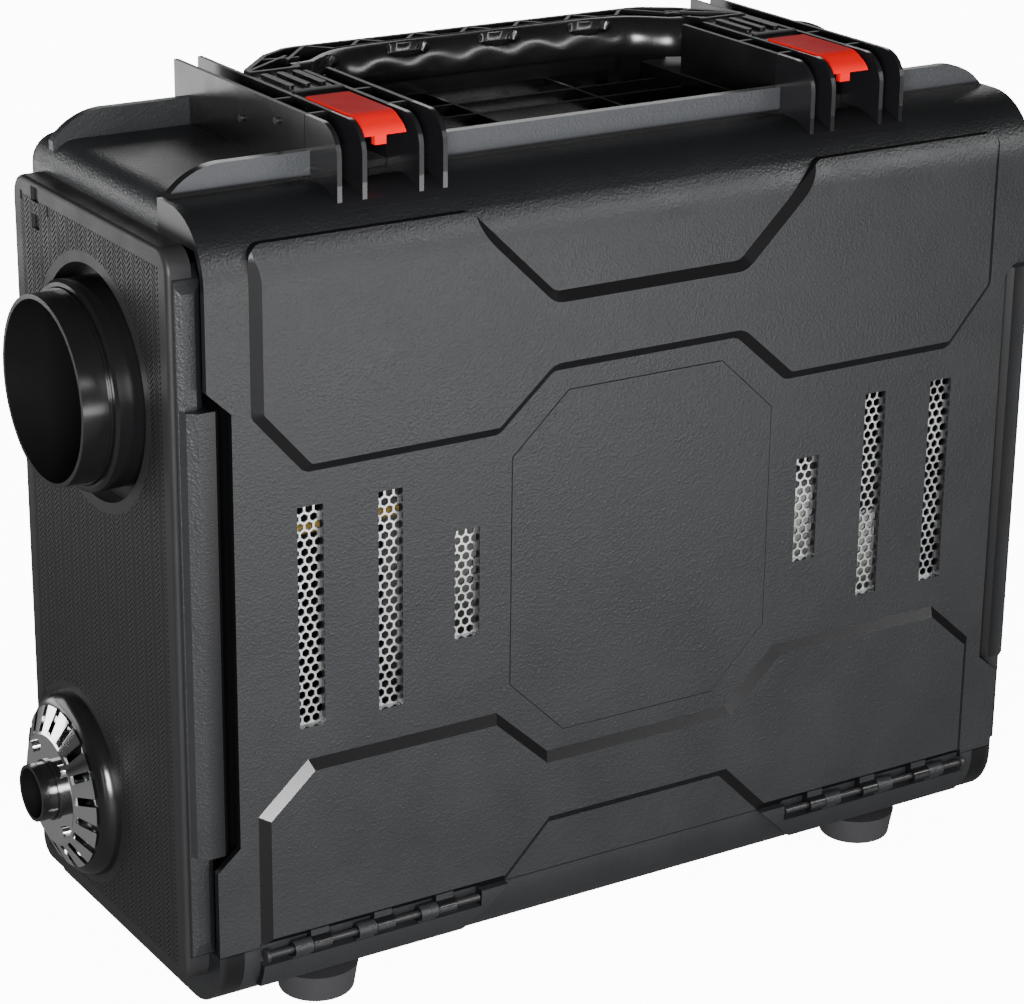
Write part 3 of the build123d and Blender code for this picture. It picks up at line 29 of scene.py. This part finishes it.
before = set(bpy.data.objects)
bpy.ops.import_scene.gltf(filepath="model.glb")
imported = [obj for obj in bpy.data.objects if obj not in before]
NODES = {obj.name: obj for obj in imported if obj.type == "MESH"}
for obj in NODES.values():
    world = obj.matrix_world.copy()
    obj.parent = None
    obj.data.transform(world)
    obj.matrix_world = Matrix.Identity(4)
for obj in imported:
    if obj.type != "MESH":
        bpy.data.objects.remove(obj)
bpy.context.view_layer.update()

MM = 0.001
SHIFT = Vector((0.007, 0.0026, 0.0))    # from the frame's origin to the middle of the case, in metres


def at(x, y, z):
    """A point given in millimetres about the middle of the case, in the frame's metres."""
    return Vector((x * MM, y * MM, z * MM)) + SHIFT


# ---- places that the finishes follow, millimetres ---------------------------------------------
FRONT_Y = -80.0
CASE_TOP = 337.0
TOP_RADIUS = 27.0           # rounding along the cover's top front edge
RIM_Z = 338.5               # the cover's thin upper rim starts here
LATCH_X = 109.4             # middle of a latch block, from the middle of the case
LATCH_GAP = 24.0            # half of the gap in the rim that the block stands in
LATCH_GAP_DEEP = 8.5        # how far below the rim's start that gap reaches
BUMPER_X = 184.3            # the painted shade on the bumpers starts this far from the middle, fades out between these two distances, and ends at this height
BUMPER_FADE = (191.5, 198.5)    # fade out between these two distances,
BUMPER_TOP = 319.0          # and end at this height
DECK_EDGE_Z = 332.5         # above this, the deck's upward edges get a painted highlight
PANEL_Y = (-63.0, 61.0)     # the part of an end panel that is pressed with strokes
PANEL_Z = (31.0, 317.0)
BARE_RINGS = ((-2.0, 255.5, 51.5), (25.0, 75.0, 42.5))   # y, z and radius round duct and exhaust
STROKE_COLUMN = 4.2         # width of a column of strokes, and how far a stroke climbs across it
STROKE_PITCH = 2.1          # from one stroke to the next above it
STROKE_HALF = 0.42          # half of a stroke's share of its column

# ---- tones, linear ----------------------------------------------------------------------------
LEATHER = (0.017, 0.018, 0.0198)
# painted shade, near black: the cover's sloping edges and side faces, and the shell's bumpers
EDGE_SHADE = (0.004, 0.004, 0.0045)
RIM_BLACK = (0.008, 0.008, 0.009)
DECK_BLACK = (0.005, 0.005, 0.0055)
# painted highlight on the deck's thin upward edges
DECK_SHEEN = (0.07, 0.07, 0.075)
PANEL_BLACK = (0.017, 0.017, 0.018)
# painted shade in the grooves of the pressed strokes
STROKE_SHADE = (0.0004, 0.0004, 0.0005)
PLAIN_HEIGHT = 0.5          # the height, out of 1, that stands for a surface without grain


def scaled(color, factor):
    return tuple(factor * c for c in color)


# ---- shader builder ---------------------------------------------------------------------------
class Shader:
    """A small builder for one procedural material."""

    def __init__(self, name, color, roughness, metallic=0.0, coat=0.0, specular=0.5):
        self.material = bpy.data.materials.new(name)
        self.material.use_nodes = True
        self.tree = self.material.node_tree
        self.bsdf = self.tree.nodes["Principled BSDF"]
        self.feed(self.bsdf.inputs["Base Color"], color)
        self.feed(self.bsdf.inputs["Roughness"], roughness)
        self.feed(self.bsdf.inputs["Metallic"], metallic)
        self.feed(self.bsdf.inputs["Coat Weight"], coat)
        self.feed(self.bsdf.inputs["Specular IOR Level"], specular)
        source = self.add("ShaderNodeTexCoord")
        self.coords = source.outputs["Object"]
        self.facing = source.outputs["Normal"]
        self.normal = None

    def add(self, kind, **values):
        node = self.tree.nodes.new(kind)
        for key, value in values.items():
            setattr(node, key, value)
        return node

    def feed(self, socket, value):
        """Give a socket a number or a colour, or link another socket to it."""
        if isinstance(value, tuple):
            socket.default_value = (*value, 1)
        elif isinstance(value, (int, float)):
            socket.default_value = value
        else:
            self.tree.links.new(value, socket)

    def math(self, operation, a, b=0.0, c=0.0):
        node = self.add("ShaderNodeMath", operation=operation)
        for socket, value in zip(node.inputs, (a, b, c)):
            self.feed(socket, value)
        return node.outputs[0]

    def length(self, a, b):
        """Length of the line with these two parts, square to each other."""
        squares = self.math("ADD", self.math("MULTIPLY", a, a), self.math("MULTIPLY", b, b))
        return self.math("SQRT", squares)

    def noise(self, scale, detail=2.0, rough=0.5, coords=None):
        node = self.add("ShaderNodeTexNoise")
        for name, value in (("Scale", scale), ("Detail", detail), ("Roughness", rough)):
            self.feed(node.inputs[name], value)
        self.feed(node.inputs["Vector"], coords or self.coords)
        return node.outputs["Fac"]

    def voronoi(self, scale):
        node = self.add("ShaderNodeTexVoronoi", feature="F1")
        self.feed(node.inputs["Scale"], scale)
        self.feed(node.inputs["Vector"], self.coords)
        return node.outputs["Distance"]

    def axes(self, vector=None):
        node = self.add("ShaderNodeSeparateXYZ")
        self.feed(node.inputs[0], vector or self.coords)
        return node.outputs

    def across(self):
        """Distance to either side of the case's middle."""
        return self.math("ABSOLUTE", self.math("SUBTRACT", self.axes()[0], SHIFT.x))

    def ramp(self, value, low, high, to_low=0.0, to_high=1.0):
        node = self.add("ShaderNodeMapRange")
        names = ("Value", "From Min", "From Max", "To Min", "To Max")
        for name, number in zip(names, (value, low, high, to_low, to_high)):
            self.feed(node.inputs[name], number)
        return node.outputs["Result"]

    def mix(self, data_type, fac, a, b):
        node = self.add("ShaderNodeMix", data_type=data_type)
        for name, value in (("Factor", fac), ("A", a), ("B", b)):
            self.feed(node.inputs[name], value)
        return node.outputs["Result"]

    def colors(self, fac, a, b):
        """Mix of two colours, each a tuple or a socket."""
        return self.mix("RGBA", fac, a, b)

    def blend(self, fac, a, b):
        """Mix of two numbers, each a number or a socket."""
        return self.mix("FLOAT", fac, a, b)

    def bump(self, height, distance, strength=1.0):
        node = self.add("ShaderNodeBump")
        self.feed(node.inputs["Distance"], distance)
        self.feed(node.inputs["Strength"], strength)
        self.feed(node.inputs["Height"], height)
        if self.normal:
            self.feed(node.inputs["Normal"], self.normal)
        self.normal = node.outputs["Normal"]
        self.feed(self.bsdf.inputs["Normal"], self.normal)

    def base(self, socket):
        self.feed(self.bsdf.inputs["Base Color"], socket)

    def rough(self, socket):
        self.feed(self.bsdf.inputs["Roughness"], socket)


# ---- leather-grained plastic ------------------------------------------------------------------
def on_main_face(s):
    """1 on the flat front and on the rounding above it, 0 on the sloping edges of what is raised."""
    centre = at(0, FRONT_Y + TOP_RADIUS, CASE_TOP - TOP_RADIUS)
    _, y, z = s.axes()
    _, ny, nz = s.axes(s.facing)
    back = s.math("SUBTRACT", y, centre.y)
    rise = s.math("MAXIMUM", s.math("SUBTRACT", z, centre.z), 0.0)
    outward = s.math("ADD", s.math("MULTIPLY", ny, back), s.math("MULTIPLY", nz, rise))
    return s.ramp(s.math("DIVIDE", outward, s.length(back, rise)), 0.955, 0.985)


def smooth_shaded_edges(s, tone, rough, height):
    """Take the grain off the cover's sloping edges and give them painted shade, near black, and paint a
    darker shade where the front's rounding faces up.
    """
    upward = s.ramp(s.axes(s.facing)[2], 0.15, 0.6)
    main = on_main_face(s)
    # painted shade: the sloping edges near black, and a darker tone where the rounding faces up
    tone = s.colors(main, EDGE_SHADE, s.colors(upward, tone, scaled(LEATHER, 0.35)))
    return tone, s.blend(main, 0.26, rough), s.blend(main, PLAIN_HEIGHT, height)


def smooth_shaded_sides(s, tone, rough, height, bumpers):
    """Make the side faces smooth and near black with painted shade, and on the shell only those of its
    bumpers.
    """
    side = s.ramp(s.math("ABSOLUTE", s.axes(s.facing)[0]), 0.55, 0.9)
    if bumpers:
        across = s.across()
        side = s.math("MAXIMUM", side, s.math("GREATER_THAN", across, BUMPER_X * MM))
        side = s.math("MULTIPLY", side, s.math("LESS_THAN", s.axes()[2], BUMPER_TOP * MM))
        fade = s.ramp(across, BUMPER_FADE[0] * MM, BUMPER_FADE[1] * MM, 1.0, 0.0)
        side = s.math("MULTIPLY", side, fade)
    # painted shade: the side faces, and the shell's bumpers, turned near black
    return s.colors(side, tone, EDGE_SHADE), s.blend(side, rough, 0.34), s.blend(side, height, PLAIN_HEIGHT)


def glossy_rim_and_lip_highlight(s, tone, rough, height, grain):
    """Make the cover's thin upper rim glossy black, and its narrow front face grained, with a painted
    highlight that makes it paler.
    """
    high = s.ramp(s.axes()[2], RIM_Z * MM, (RIM_Z + 1) * MM)
    front = s.math("LESS_THAN", s.axes(s.facing)[1], -0.9)
    lip = s.math("MULTIPLY", high, front)
    from_latch = s.math("ABSOLUTE", s.math("SUBTRACT", s.across(), LATCH_X * MM))
    gap = s.math("LESS_THAN", from_latch, LATCH_GAP * MM)
    gap = s.math("MULTIPLY", gap, s.math("GREATER_THAN", s.axes()[2], (RIM_Z - LATCH_GAP_DEEP) * MM))
    thin = s.math("MAXIMUM", s.math("MULTIPLY", high, s.math("SUBTRACT", 1.0, front)), gap)
    # painted highlight: the rim's narrow front face made paler than the leather
    tone = s.colors(thin, s.colors(lip, tone, scaled(LEATHER, 2.2)), RIM_BLACK)
    height = s.blend(lip, s.blend(thin, height, PLAIN_HEIGHT), grain)
    return tone, s.blend(lip, s.blend(thin, rough, 0.2), 0.42), height


def leather_plastic(name, part=None):
    """Charcoal moulded plastic with a fine leather grain, smooth where the part has it so, with painted
    shade on the cover's edges, sides and upward rounding and on the shell's bumpers, and a painted
    highlight on the front of the cover's rim.
    """
    s = Shader(name, LEATHER, 0.42, specular=0.4)
    cells = s.math("MULTIPLY", s.voronoi(900.0), s.noise(550.0))
    grain = s.math("ADD", cells, s.math("MULTIPLY", s.noise(1600.0), 0.35))
    shade = s.noise(35.0, 3.0)
    tone = s.colors(shade, scaled(LEATHER, 0.85), scaled(LEATHER, 1.15))
    look = (tone, s.ramp(shade, 0.3, 0.7, 0.36, 0.44), grain)
    if part == "cover":
        look = smooth_shaded_edges(s, *look)
        look = smooth_shaded_sides(s, *look, bumpers=False)
        look = glossy_rim_and_lip_highlight(s, *look, grain)
    elif part == "shell":
        look = smooth_shaded_sides(s, *look, bumpers=True)
    tone, rough, height = look
    s.bump(height, 0.00022, 0.9)
    s.rough(rough)
    s.base(tone)
    return s.material


# ---- other finishes ---------------------------------------------------------------------------
def slashed_plastic(name):
    """Black plastic pressed with columns of slanting strokes, each column leaning the other way; the
    strokes' grooves carry painted shade, near black.
    """
    s = Shader(name, RIM_BLACK, 0.3, specular=0.22)
    _, y, z = s.axes()
    column = s.math("ADD", s.math("DIVIDE", y, STROKE_COLUMN * MM), 100.0)     # kept above 0
    across = s.math("FRACT", column)
    lean = s.math("MULTIPLY_ADD", s.math("MODULO", s.math("FLOOR", column), 2.0), 2.0, -1.0)
    climb = s.math("MULTIPLY", s.math("MULTIPLY", across, lean), STROKE_COLUMN * MM)
    wave = s.math("SINE", s.math("MULTIPLY", s.math("ADD", z, climb), 2 * math.pi / (STROKE_PITCH * MM)))
    edge = s.math("GREATER_THAN", s.math("ABSOLUTE", s.math("SUBTRACT", across, 0.5)), STROKE_HALF)
    groove = s.math("MULTIPLY", s.ramp(wave, 0.0, 0.6), s.math("SUBTRACT", 1.0, edge))
    pressed = s.math("GREATER_THAN", s.math("ABSOLUTE", s.axes(s.facing)[0]), 0.97)
    for ring_y, ring_z, radius in BARE_RINGS:
        centre = at(0, ring_y, ring_z)
        away = s.length(s.math("SUBTRACT", y, centre.y), s.math("SUBTRACT", z, centre.z))
        pressed = s.math("MULTIPLY", pressed, s.math("GREATER_THAN", away, radius * MM))
    low, high = (at(0, PANEL_Y[i], PANEL_Z[i]) for i in (0, 1))
    for axis, start, end in ((y, low.y, high.y), (z, low.z, high.z)):
        inside = s.math("MULTIPLY", s.math("GREATER_THAN", axis, start), s.math("LESS_THAN", axis, end))
        pressed = s.math("MULTIPLY", pressed, inside)
    groove = s.math("MULTIPLY", groove, pressed)
    s.bump(s.math("SUBTRACT", 1.0, groove), 0.0006, 1.0)
    s.rough(s.blend(groove, s.ramp(s.noise(60.0), 0.3, 0.7, 0.40, 0.50), 0.8))
    # painted shade: the stroke grooves near black
    s.base(s.colors(groove, PANEL_BLACK, STROKE_SHADE))
    return s.material


def smooth_plastic(name, color, rough, wear=0.06, coat=0.0, specular=0.5):
    """Plain moulded plastic with faint waves, and patches that are a little duller."""
    s = Shader(name, color, rough, coat=coat, specular=specular)
    s.rough(s.ramp(s.noise(45.0, 3.0), 0.3, 0.7, max(rough - wear, 0.03), rough + wear))
    s.bump(s.noise(220.0), 0.00005, 0.5)
    s.base(s.colors(s.noise(18.0), scaled(color, 0.85), scaled(color, 1.12)))
    return s.material


def ribbed_black(name):
    """Black moulding whose thin upper edges have a painted highlight that makes them paler."""
    s = Shader(name, DECK_BLACK, 0.25, specular=0.4)
    upward = s.ramp(s.axes(s.facing)[2], 0.8, 0.95)
    edge = s.math("MULTIPLY", upward, s.math("GREATER_THAN", s.axes()[2], DECK_EDGE_Z * MM))
    s.rough(s.blend(edge, s.ramp(s.noise(45.0), 0.3, 0.7, 0.2, 0.3), 0.5))
    # painted highlight: the thin upward edges made paler
    s.base(s.colors(edge, DECK_BLACK, DECK_SHEEN))
    s.bump(s.noise(220.0), 0.00005, 0.5)
    return s.material


def metal(name, color, rough, brushed=0.0):
    """Bare metal, uneven in gloss, or with fine lines brushed along X where brushed is over 0."""
    s = Shader(name, color, rough, metallic=1.0)
    if brushed:
        stretch = s.add("ShaderNodeMapping")
        stretch.inputs["Scale"].default_value = (12.0, 900.0, 900.0)
        s.feed(stretch.inputs["Vector"], s.coords)
        lines = s.noise(1.0, coords=stretch.outputs["Vector"])
        s.bump(lines, 0.00004, brushed)
        s.rough(s.ramp(lines, 0.2, 0.8, rough * 0.8, rough * 1.25))
    else:
        s.rough(s.ramp(s.noise(50.0, 3.0), 0.3, 0.7, rough * 0.75, rough * 1.3))
    s.base(s.colors(s.noise(25.0), scaled(color, 0.92), color))
    return s.material


MATERIALS = {
    "cover": leather_plastic("cover_grain", "cover"),
    "shell": leather_plastic("shell_grain", "shell"),
    "badge": leather_plastic("badge_grain"),
    "panel": slashed_plastic("panel_strokes"),
    "deck": ribbed_black("deck_black"),
    "grip": smooth_plastic("grip_black", (0.007, 0.007, 0.0075), 0.28),
    "foot": smooth_plastic("foot_gloss", (0.035, 0.035, 0.037), 0.25),
    "black": smooth_plastic("black_gloss", (0.006, 0.006, 0.0065), 0.2),
    "satin": smooth_plastic("black_satin", (0.016, 0.016, 0.017), 0.36),
    "red": smooth_plastic("red_gloss", (0.72, 0.001, 0.004), 0.5, specular=0.03),
    "grey": smooth_plastic("grey_button", (0.25, 0.25, 0.26), 0.45),
    "rubber": smooth_plastic("black_rubber", (0.018, 0.018, 0.018), 0.6),
    "tank": smooth_plastic("milky_tank", (0.75, 0.75, 0.70), 0.4),
    "amber": smooth_plastic("amber_nylon", (0.55, 0.36, 0.10), 0.3),
    "green": smooth_plastic("green_board", (0.02, 0.16, 0.06), 0.4),
    "screen": smooth_plastic("dark_screen", (0.008, 0.012, 0.016), 0.08, 0.02, coat=1.0),
    "mesh": metal("mesh_steel", (0.86, 0.87, 0.88), 0.3),
    "chrome": metal("chrome", (0.88, 0.88, 0.89), 0.08),
    "steel": metal("brushed_steel", (0.62, 0.62, 0.63), 0.3, brushed=0.6),
    "cast": metal("cast_aluminium", (0.55, 0.55, 0.56), 0.5),
    "duct": metal("duct_aluminium", (0.75, 0.75, 0.76), 0.3, brushed=0.5),
}
# The CAD nodes with each finish. Those not named here are brushed steel.
NODES_WITH = {
    "cover": ("front_cover",),
    "shell": ("rear_shell",),
    "deck": ("top_deck",),
    "badge": ("badge_plate",),
    "panel": ("end_panel_left", "end_panel_right"),
    "mesh": ("vent_mesh_left", "vent_mesh_right"),
    "red": ("latch_left", "latch_right"),
    "black": ("carry_handle", "duct_collar", "outlet_duct", "exhaust_pipe", "exhaust_bell",
              "power_socket", "intake_grille"),
    "satin": ("hinge_pin_left", "hinge_pin_right", "block_screws", "heater_case_upper",
              "heater_case_lower", "fan_motor", "hot_air_fan", "combustion_fan", "overheat_sensor",
              "fuel_cap", "intake_silencer", "control_bezel"),
    "chrome": ("heat_shield", "shield_screws"),
    "cast": ("heat_exchanger", "blower_housing"),
    "steel": ("combustion_chamber",),
    "tank": ("fuel_tank", "fuel_filter"),
    "rubber": ("pump_clip", "tank_hose", "pump_hose"),
    "amber": ("fuel_line",),
    "duct": ("intake_pipe",),
    "screen": ("display_window",),
    "green": ("control_switches", "control_board"),
    "foot": ("feet",),
    "grey": ("button_power", "button_up", "button_set", "button_down"),
}
FINISH_OF = {node: finish for finish, nodes in NODES_WITH.items() for node in nodes}
for name, node in NODES.items():
    node.data.materials.clear()
    node.data.materials.append(MATERIALS[FINISH_OF.get(name, "steel")])


# ---- hand grip, millimetres and degrees -------------------------------------------------------
# Points that steer the front of the bar, seen from above, from its middle to its right end.
GRIP_FRONT = [(0, 44.2), (20, 44.2), (40, 44.1), (56, 43.6), (68, 41.5), (77, 35), (83, 28.5),
              (90, 26.6), (97.5, 26.4)]
GRIP_STEP = 0.7             # between two sections of the grip
GRIP_ROWS = 44              # faces round a section
GRIP_Z = 351.3              # height of the bar's foremost line
GRIP_TURN = (-62, 90)       # a section's first and last angle, up from level
GRIP_ABOVE = (8.4, 10.4)    # depth and height of the rounding above that line,
GRIP_BELOW = (5.0, 6.4)     # and below it
SWELL_PITCH = 24.5          # finger swells along the bar
SWELL_DEEP = 1.6
SWELL_MIDDLE = 0.45         # share of the wave that stands proud
SWELL_Z = -0.5              # their middle, above GRIP_Z
SWELL_TALL = 5.0
SWELL_END = 66.0            # they fade beyond this distance from the middle,
SWELL_FADE = 12.0           # over this length
POCKET_X = [-80.6 + 44.4 * i for i in range(4)]
POCKET_HALF = 9.6
POCKET_TURN = 52            # angle of a pocket's middle,
POCKET_SPREAD = 20          # and how far it reaches to each side of that
POCKET_DEEP = 4.2
POCKET_RIM = 1.15           # what the oval's formula gives at its outer edge,
POCKET_WALL = 0.18          # and how much less where its sloping wall ends
# What is cut from the CAD bar, seen from above: the left half of its outline, and its heights.
CUT_FRONT = [(-97, 10), (-97, 28), (-92, 37), (-82, 45.5), (-69, 50.4), (-50, 52.2)]
CUT_Z = (340.0, 366.0)
REST = ((-97, 97), (51.5, 53.5), (338.0, 344.7))    # the low wall under the bar, in x, y and z
REST_EASE = 0.0003          # rounding of its edges, in metres
WELD = 1e-5                 # points closer than this are one, in metres


def mesh_of(build, name):
    """The finished mesh of a bmesh, which is freed."""
    data = bpy.data.meshes.new(name)
    build.to_mesh(data)
    build.free()
    return data


def new_object(name, mesh, material=None):
    piece = bpy.data.objects.new(name, mesh)
    bpy.context.collection.objects.link(piece)
    if material:
        mesh.materials.clear()
        mesh.materials.append(material)
    return piece


def smooth_path(points, step):
    """Points spaced evenly along the rounded line that the given points steer."""
    spline = bpy.data.curves.new("path", "CURVE")
    spline.dimensions = "3D"
    line = spline.splines.new("NURBS")
    line.points.add(len(points) - 1)
    for point, (x, y) in zip(line.points, points):
        point.co = (x, y, 0, 1)
    line.order_u = 4
    line.use_endpoint_u = True
    spline.resolution_u = 24
    holder = bpy.data.objects.new("path", spline)
    mesh = bpy.data.meshes.new_from_object(holder)
    raw = [v.co.xy.copy() for v in mesh.vertices]
    bpy.data.objects.remove(holder)
    bpy.data.meshes.remove(mesh)
    spaced, carry = [raw[0]], 0.0
    for a, b in zip(raw, raw[1:]):
        length = (b - a).length
        while length > 0 and carry + length >= step:
            a = a.lerp(b, (step - carry) / length)
            length = (b - a).length
            spaced.append(a.copy())
            carry = 0.0
        carry += length
    return spaced


def swell(x, high):
    """How far the finger swells move the front back, or forward where it is below 0."""
    wave = 0.5 - 0.5 * math.cos(2 * math.pi * (x / SWELL_PITCH + 0.5))
    fade = min(1.0, max(0.0, 1 - (abs(x) - SWELL_END) / SWELL_FADE))
    low = math.exp(-((high - SWELL_Z) / SWELL_TALL) ** 2)
    return SWELL_DEEP * fade * (wave - SWELL_MIDDLE) * low


def pocket(x, turn):
    """How far the oval pockets sink the surface."""
    v = (math.degrees(turn) - POCKET_TURN) / POCKET_SPREAD
    ovals = [abs((x - centre) / POCKET_HALF) ** 3 + abs(v) ** 2.6 for centre in POCKET_X]
    return POCKET_DEEP * min(1.0, max(0.0, (POCKET_RIM - min(ovals)) / POCKET_WALL))


def grip_point(x, turn):
    """How deep behind the front line, and how high above it, the surface lies at an angle."""
    across, tall = GRIP_BELOW if turn < 0 else GRIP_ABOVE
    deep, high = across * (1 - math.cos(turn)), tall * math.sin(turn)
    deep += swell(x, high)
    sunk = pocket(x, turn)
    return deep + sunk * math.cos(turn), high - sunk * math.sin(turn)


def grip_surface():
    """The rounded front of the bar: finger swells low on it, and oval pockets along its top."""
    path = smooth_path([(-x, y) for x, y in reversed(GRIP_FRONT)] + GRIP_FRONT[1:], GRIP_STEP)
    start, end = GRIP_TURN
    turns = [math.radians(start + (end - start) * j / GRIP_ROWS) for j in range(GRIP_ROWS + 1)]
    mesh = bmesh.new()
    grid = []
    for i, place in enumerate(path):
        before, after = path[max(i - 1, 0)], path[min(i + 1, len(path) - 1)]
        tangent = (after - before).normalized()
        backward = Vector((-tangent.y, tangent.x))
        section = []
        for turn in turns:
            deep, high = grip_point(place.x, turn)
            spot = place + backward * deep
            section.append(mesh.verts.new(at(spot.x, spot.y, GRIP_Z + high)))
        grid.append(section)
    for a, b in zip(grid, grid[1:]):
        for j in range(GRIP_ROWS):
            mesh.faces.new((a[j], b[j], b[j + 1], a[j + 1])).smooth = True
    bmesh.ops.recalc_face_normals(mesh, faces=mesh.faces)
    return mesh_of(mesh, "handle_grip")


def prism(name, outline, heights):
    """A closed block that stands on an outline seen from above."""
    block = bmesh.new()
    loops = [[block.verts.new(at(x, y, z)) for x, y in outline] for z in heights]
    for loop in loops:
        block.faces.new(loop)
    for i in range(len(outline)):
        j = (i + 1) % len(outline)
        block.faces.new((loops[0][i], loops[0][j], loops[1][j], loops[1][i]))
    bmesh.ops.recalc_face_normals(block, faces=block.faces)
    return mesh_of(block, name)


def cleared_handle():
    """The bar and its arms, with room cut out for the rounded grip.

    Known fault: at its two ends the cut is wider than the grip, so an opening shows there when the
    handle is up.
    """
    data = NODES["carry_handle"].data.copy()
    mesh = bmesh.new()
    mesh.from_mesh(data)
    bmesh.ops.remove_doubles(mesh, verts=mesh.verts, dist=WELD)
    mesh.to_mesh(data)
    mesh.free()
    piece = new_object("handle_frame", data, MATERIALS["deck"])
    outline = CUT_FRONT + [(-x, y) for x, y in reversed(CUT_FRONT)]
    cutter = new_object("cutter", prism("cutter", outline, CUT_Z))
    cut = piece.modifiers.new("cut", "BOOLEAN")
    cut.operation = "DIFFERENCE"
    cut.object = cutter
    cut.solver = "EXACT"
    bpy.context.view_layer.update()
    final = piece.evaluated_get(bpy.context.evaluated_depsgraph_get())
    cleared = bpy.data.meshes.new_from_object(final)
    piece.modifiers.clear()
    piece.data = cleared
    bpy.data.objects.remove(cutter)
    return piece


def slab(name, spans, material):
    """A plain moulded wall with eased edges, between two places on each axis."""
    mesh = bmesh.new()
    bmesh.ops.create_cube(mesh, size=1.0)
    size = [high - low for low, high in spans]
    middle = [(low + high) / 2 for low, high in spans]
    for vert in mesh.verts:
        vert.co = at(*(m + d * c for m, d, c in zip(middle, size, vert.co)))
    bmesh.ops.bevel(mesh, geom=mesh.edges, offset=REST_EASE, segments=2, affect="EDGES")
    return new_object(name, mesh_of(mesh, name), material)


handle_rest = slab("handle_rest", REST, MATERIALS["black"])
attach(handle_rest, "case")
handle_frame = cleared_handle()
handle_grip = new_object("handle_grip", grip_surface(), MATERIALS["grip"])
for piece in (handle_frame, handle_grip):
    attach(piece, "handle")
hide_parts("carry_handle")

# ---- floor and background ---------------------------------------------------------------------
# Both show plain white to the camera and light the object only weakly.
WHITE = 12.0                # brightness to the camera
SKY_LIGHT = 0.06            # brightness of the background to everything else
FLOOR_SIZE = 12
FLOOR_SHADE = (0.16, 0.16, 0.16)
FLOOR_PALE = (0.88, 0.88, 0.88)

bpy.ops.mesh.primitive_plane_add(size=FLOOR_SIZE, location=(0, 0, 0))
floor = bpy.context.object
floor.name = "floor"
pale = Shader("pale_floor", (0.86, 0.86, 0.86), 0.7)
pale.feed(pale.bsdf.inputs["Emission Color"], (1, 1, 1))
seen = pale.add("ShaderNodeLightPath").outputs["Is Camera Ray"]
pale.feed(pale.bsdf.inputs["Emission Strength"], pale.ramp(seen, 0.0, 1.0, 0.0, WHITE))
pale.base(pale.colors(pale.math("MULTIPLY", seen, pale.noise(3.0)), FLOOR_SHADE, FLOOR_PALE))
floor.data.materials.append(pale.material)

world = bpy.data.worlds.new("studio")
bpy.context.scene.world = world
world.use_nodes = True
sky = world.node_tree
seen = sky.nodes.new("ShaderNodeLightPath").outputs["Is Camera Ray"]
strength = sky.nodes.new("ShaderNodeMapRange")
strength.inputs["To Min"].default_value = SKY_LIGHT
strength.inputs["To Max"].default_value = WHITE
sky.links.new(seen, strength.inputs["Value"])
sky.links.new(strength.outputs["Result"], sky.nodes["Background"].inputs["Strength"])
sky.nodes["Background"].inputs["Color"].default_value = (1, 1, 1, 1)

# ---- camera -----------------------------------------------------------------------------------
YAW, PITCH, ROLL = (math.radians(a) for a in (32.210, 20.408, 0.673))
CAMERA_PLACE = at(-671.0, -1045.5, 629.5)
SENSOR = 36
LENS = 108.80

forward = Vector((math.sin(YAW) * math.cos(PITCH), math.cos(YAW) * math.cos(PITCH), -math.sin(PITCH)))
level = Vector((math.cos(YAW), -math.sin(YAW), 0))
upright = level.cross(forward)
right = math.cos(ROLL) * level + math.sin(ROLL) * upright
up = -math.sin(ROLL) * level + math.cos(ROLL) * upright
camera = bpy.data.objects.new("camera", bpy.data.cameras.new("camera"))
bpy.context.collection.objects.link(camera)
camera.data.sensor_width = SENSOR
camera.data.lens = LENS
turned = Matrix((right, up, -forward)).transposed().to_4x4()
camera.matrix_world = Matrix.Translation(CAMERA_PLACE) @ turned
bpy.context.scene.camera = camera

# ---- light, metres and watts ------------------------------------------------------------------
# name, place, what it points at, width, height (None for a square), power
LIGHTS = (
    ("key_left", (-0.62, -0.95, 0.42), (-0.18, -0.08, 0.27), 0.35, None, 27),
    ("strip_left", (-1.25, -0.75, 0.25), (-0.2, -0.06, 0.2), 0.12, 0.8, 1.2),
    ("card_front", (0.25, -0.85, 0.05), (-0.15, -0.08, 0.3), 0.6, 0.2, 3),
    ("band_right", (0.95, -1.15, 0.78), (0.15, -0.08, 0.3), 1.2, 0.2, 12),
    ("card_low", (-0.75, 0.95, 0.05), (-0.13, 0.0, 0.36), 0.9, 0.3, 4),
    ("card_left", (-1.2, 1.3, 0.6), (-0.15, 0.0, 0.33), 1.3, 0.5, 9),
    ("rim_back", (1.25, 2.0, 1.3), (0, 0, 0.3), 1.6, 0.8, 9),
)
for name, place, target, wide, tall, power in LIGHTS:
    data = bpy.data.lights.new(name, "AREA")
    data.energy = power
    data.size = wide
    if tall:
        data.shape = "RECTANGLE"
        data.size_y = tall
    light = bpy.data.objects.new(name, data)
    bpy.context.collection.objects.link(light)
    light.location = place
    light.rotation_euler = (Vector(target) - Vector(place)).to_track_quat("-Z", "Y").to_euler()
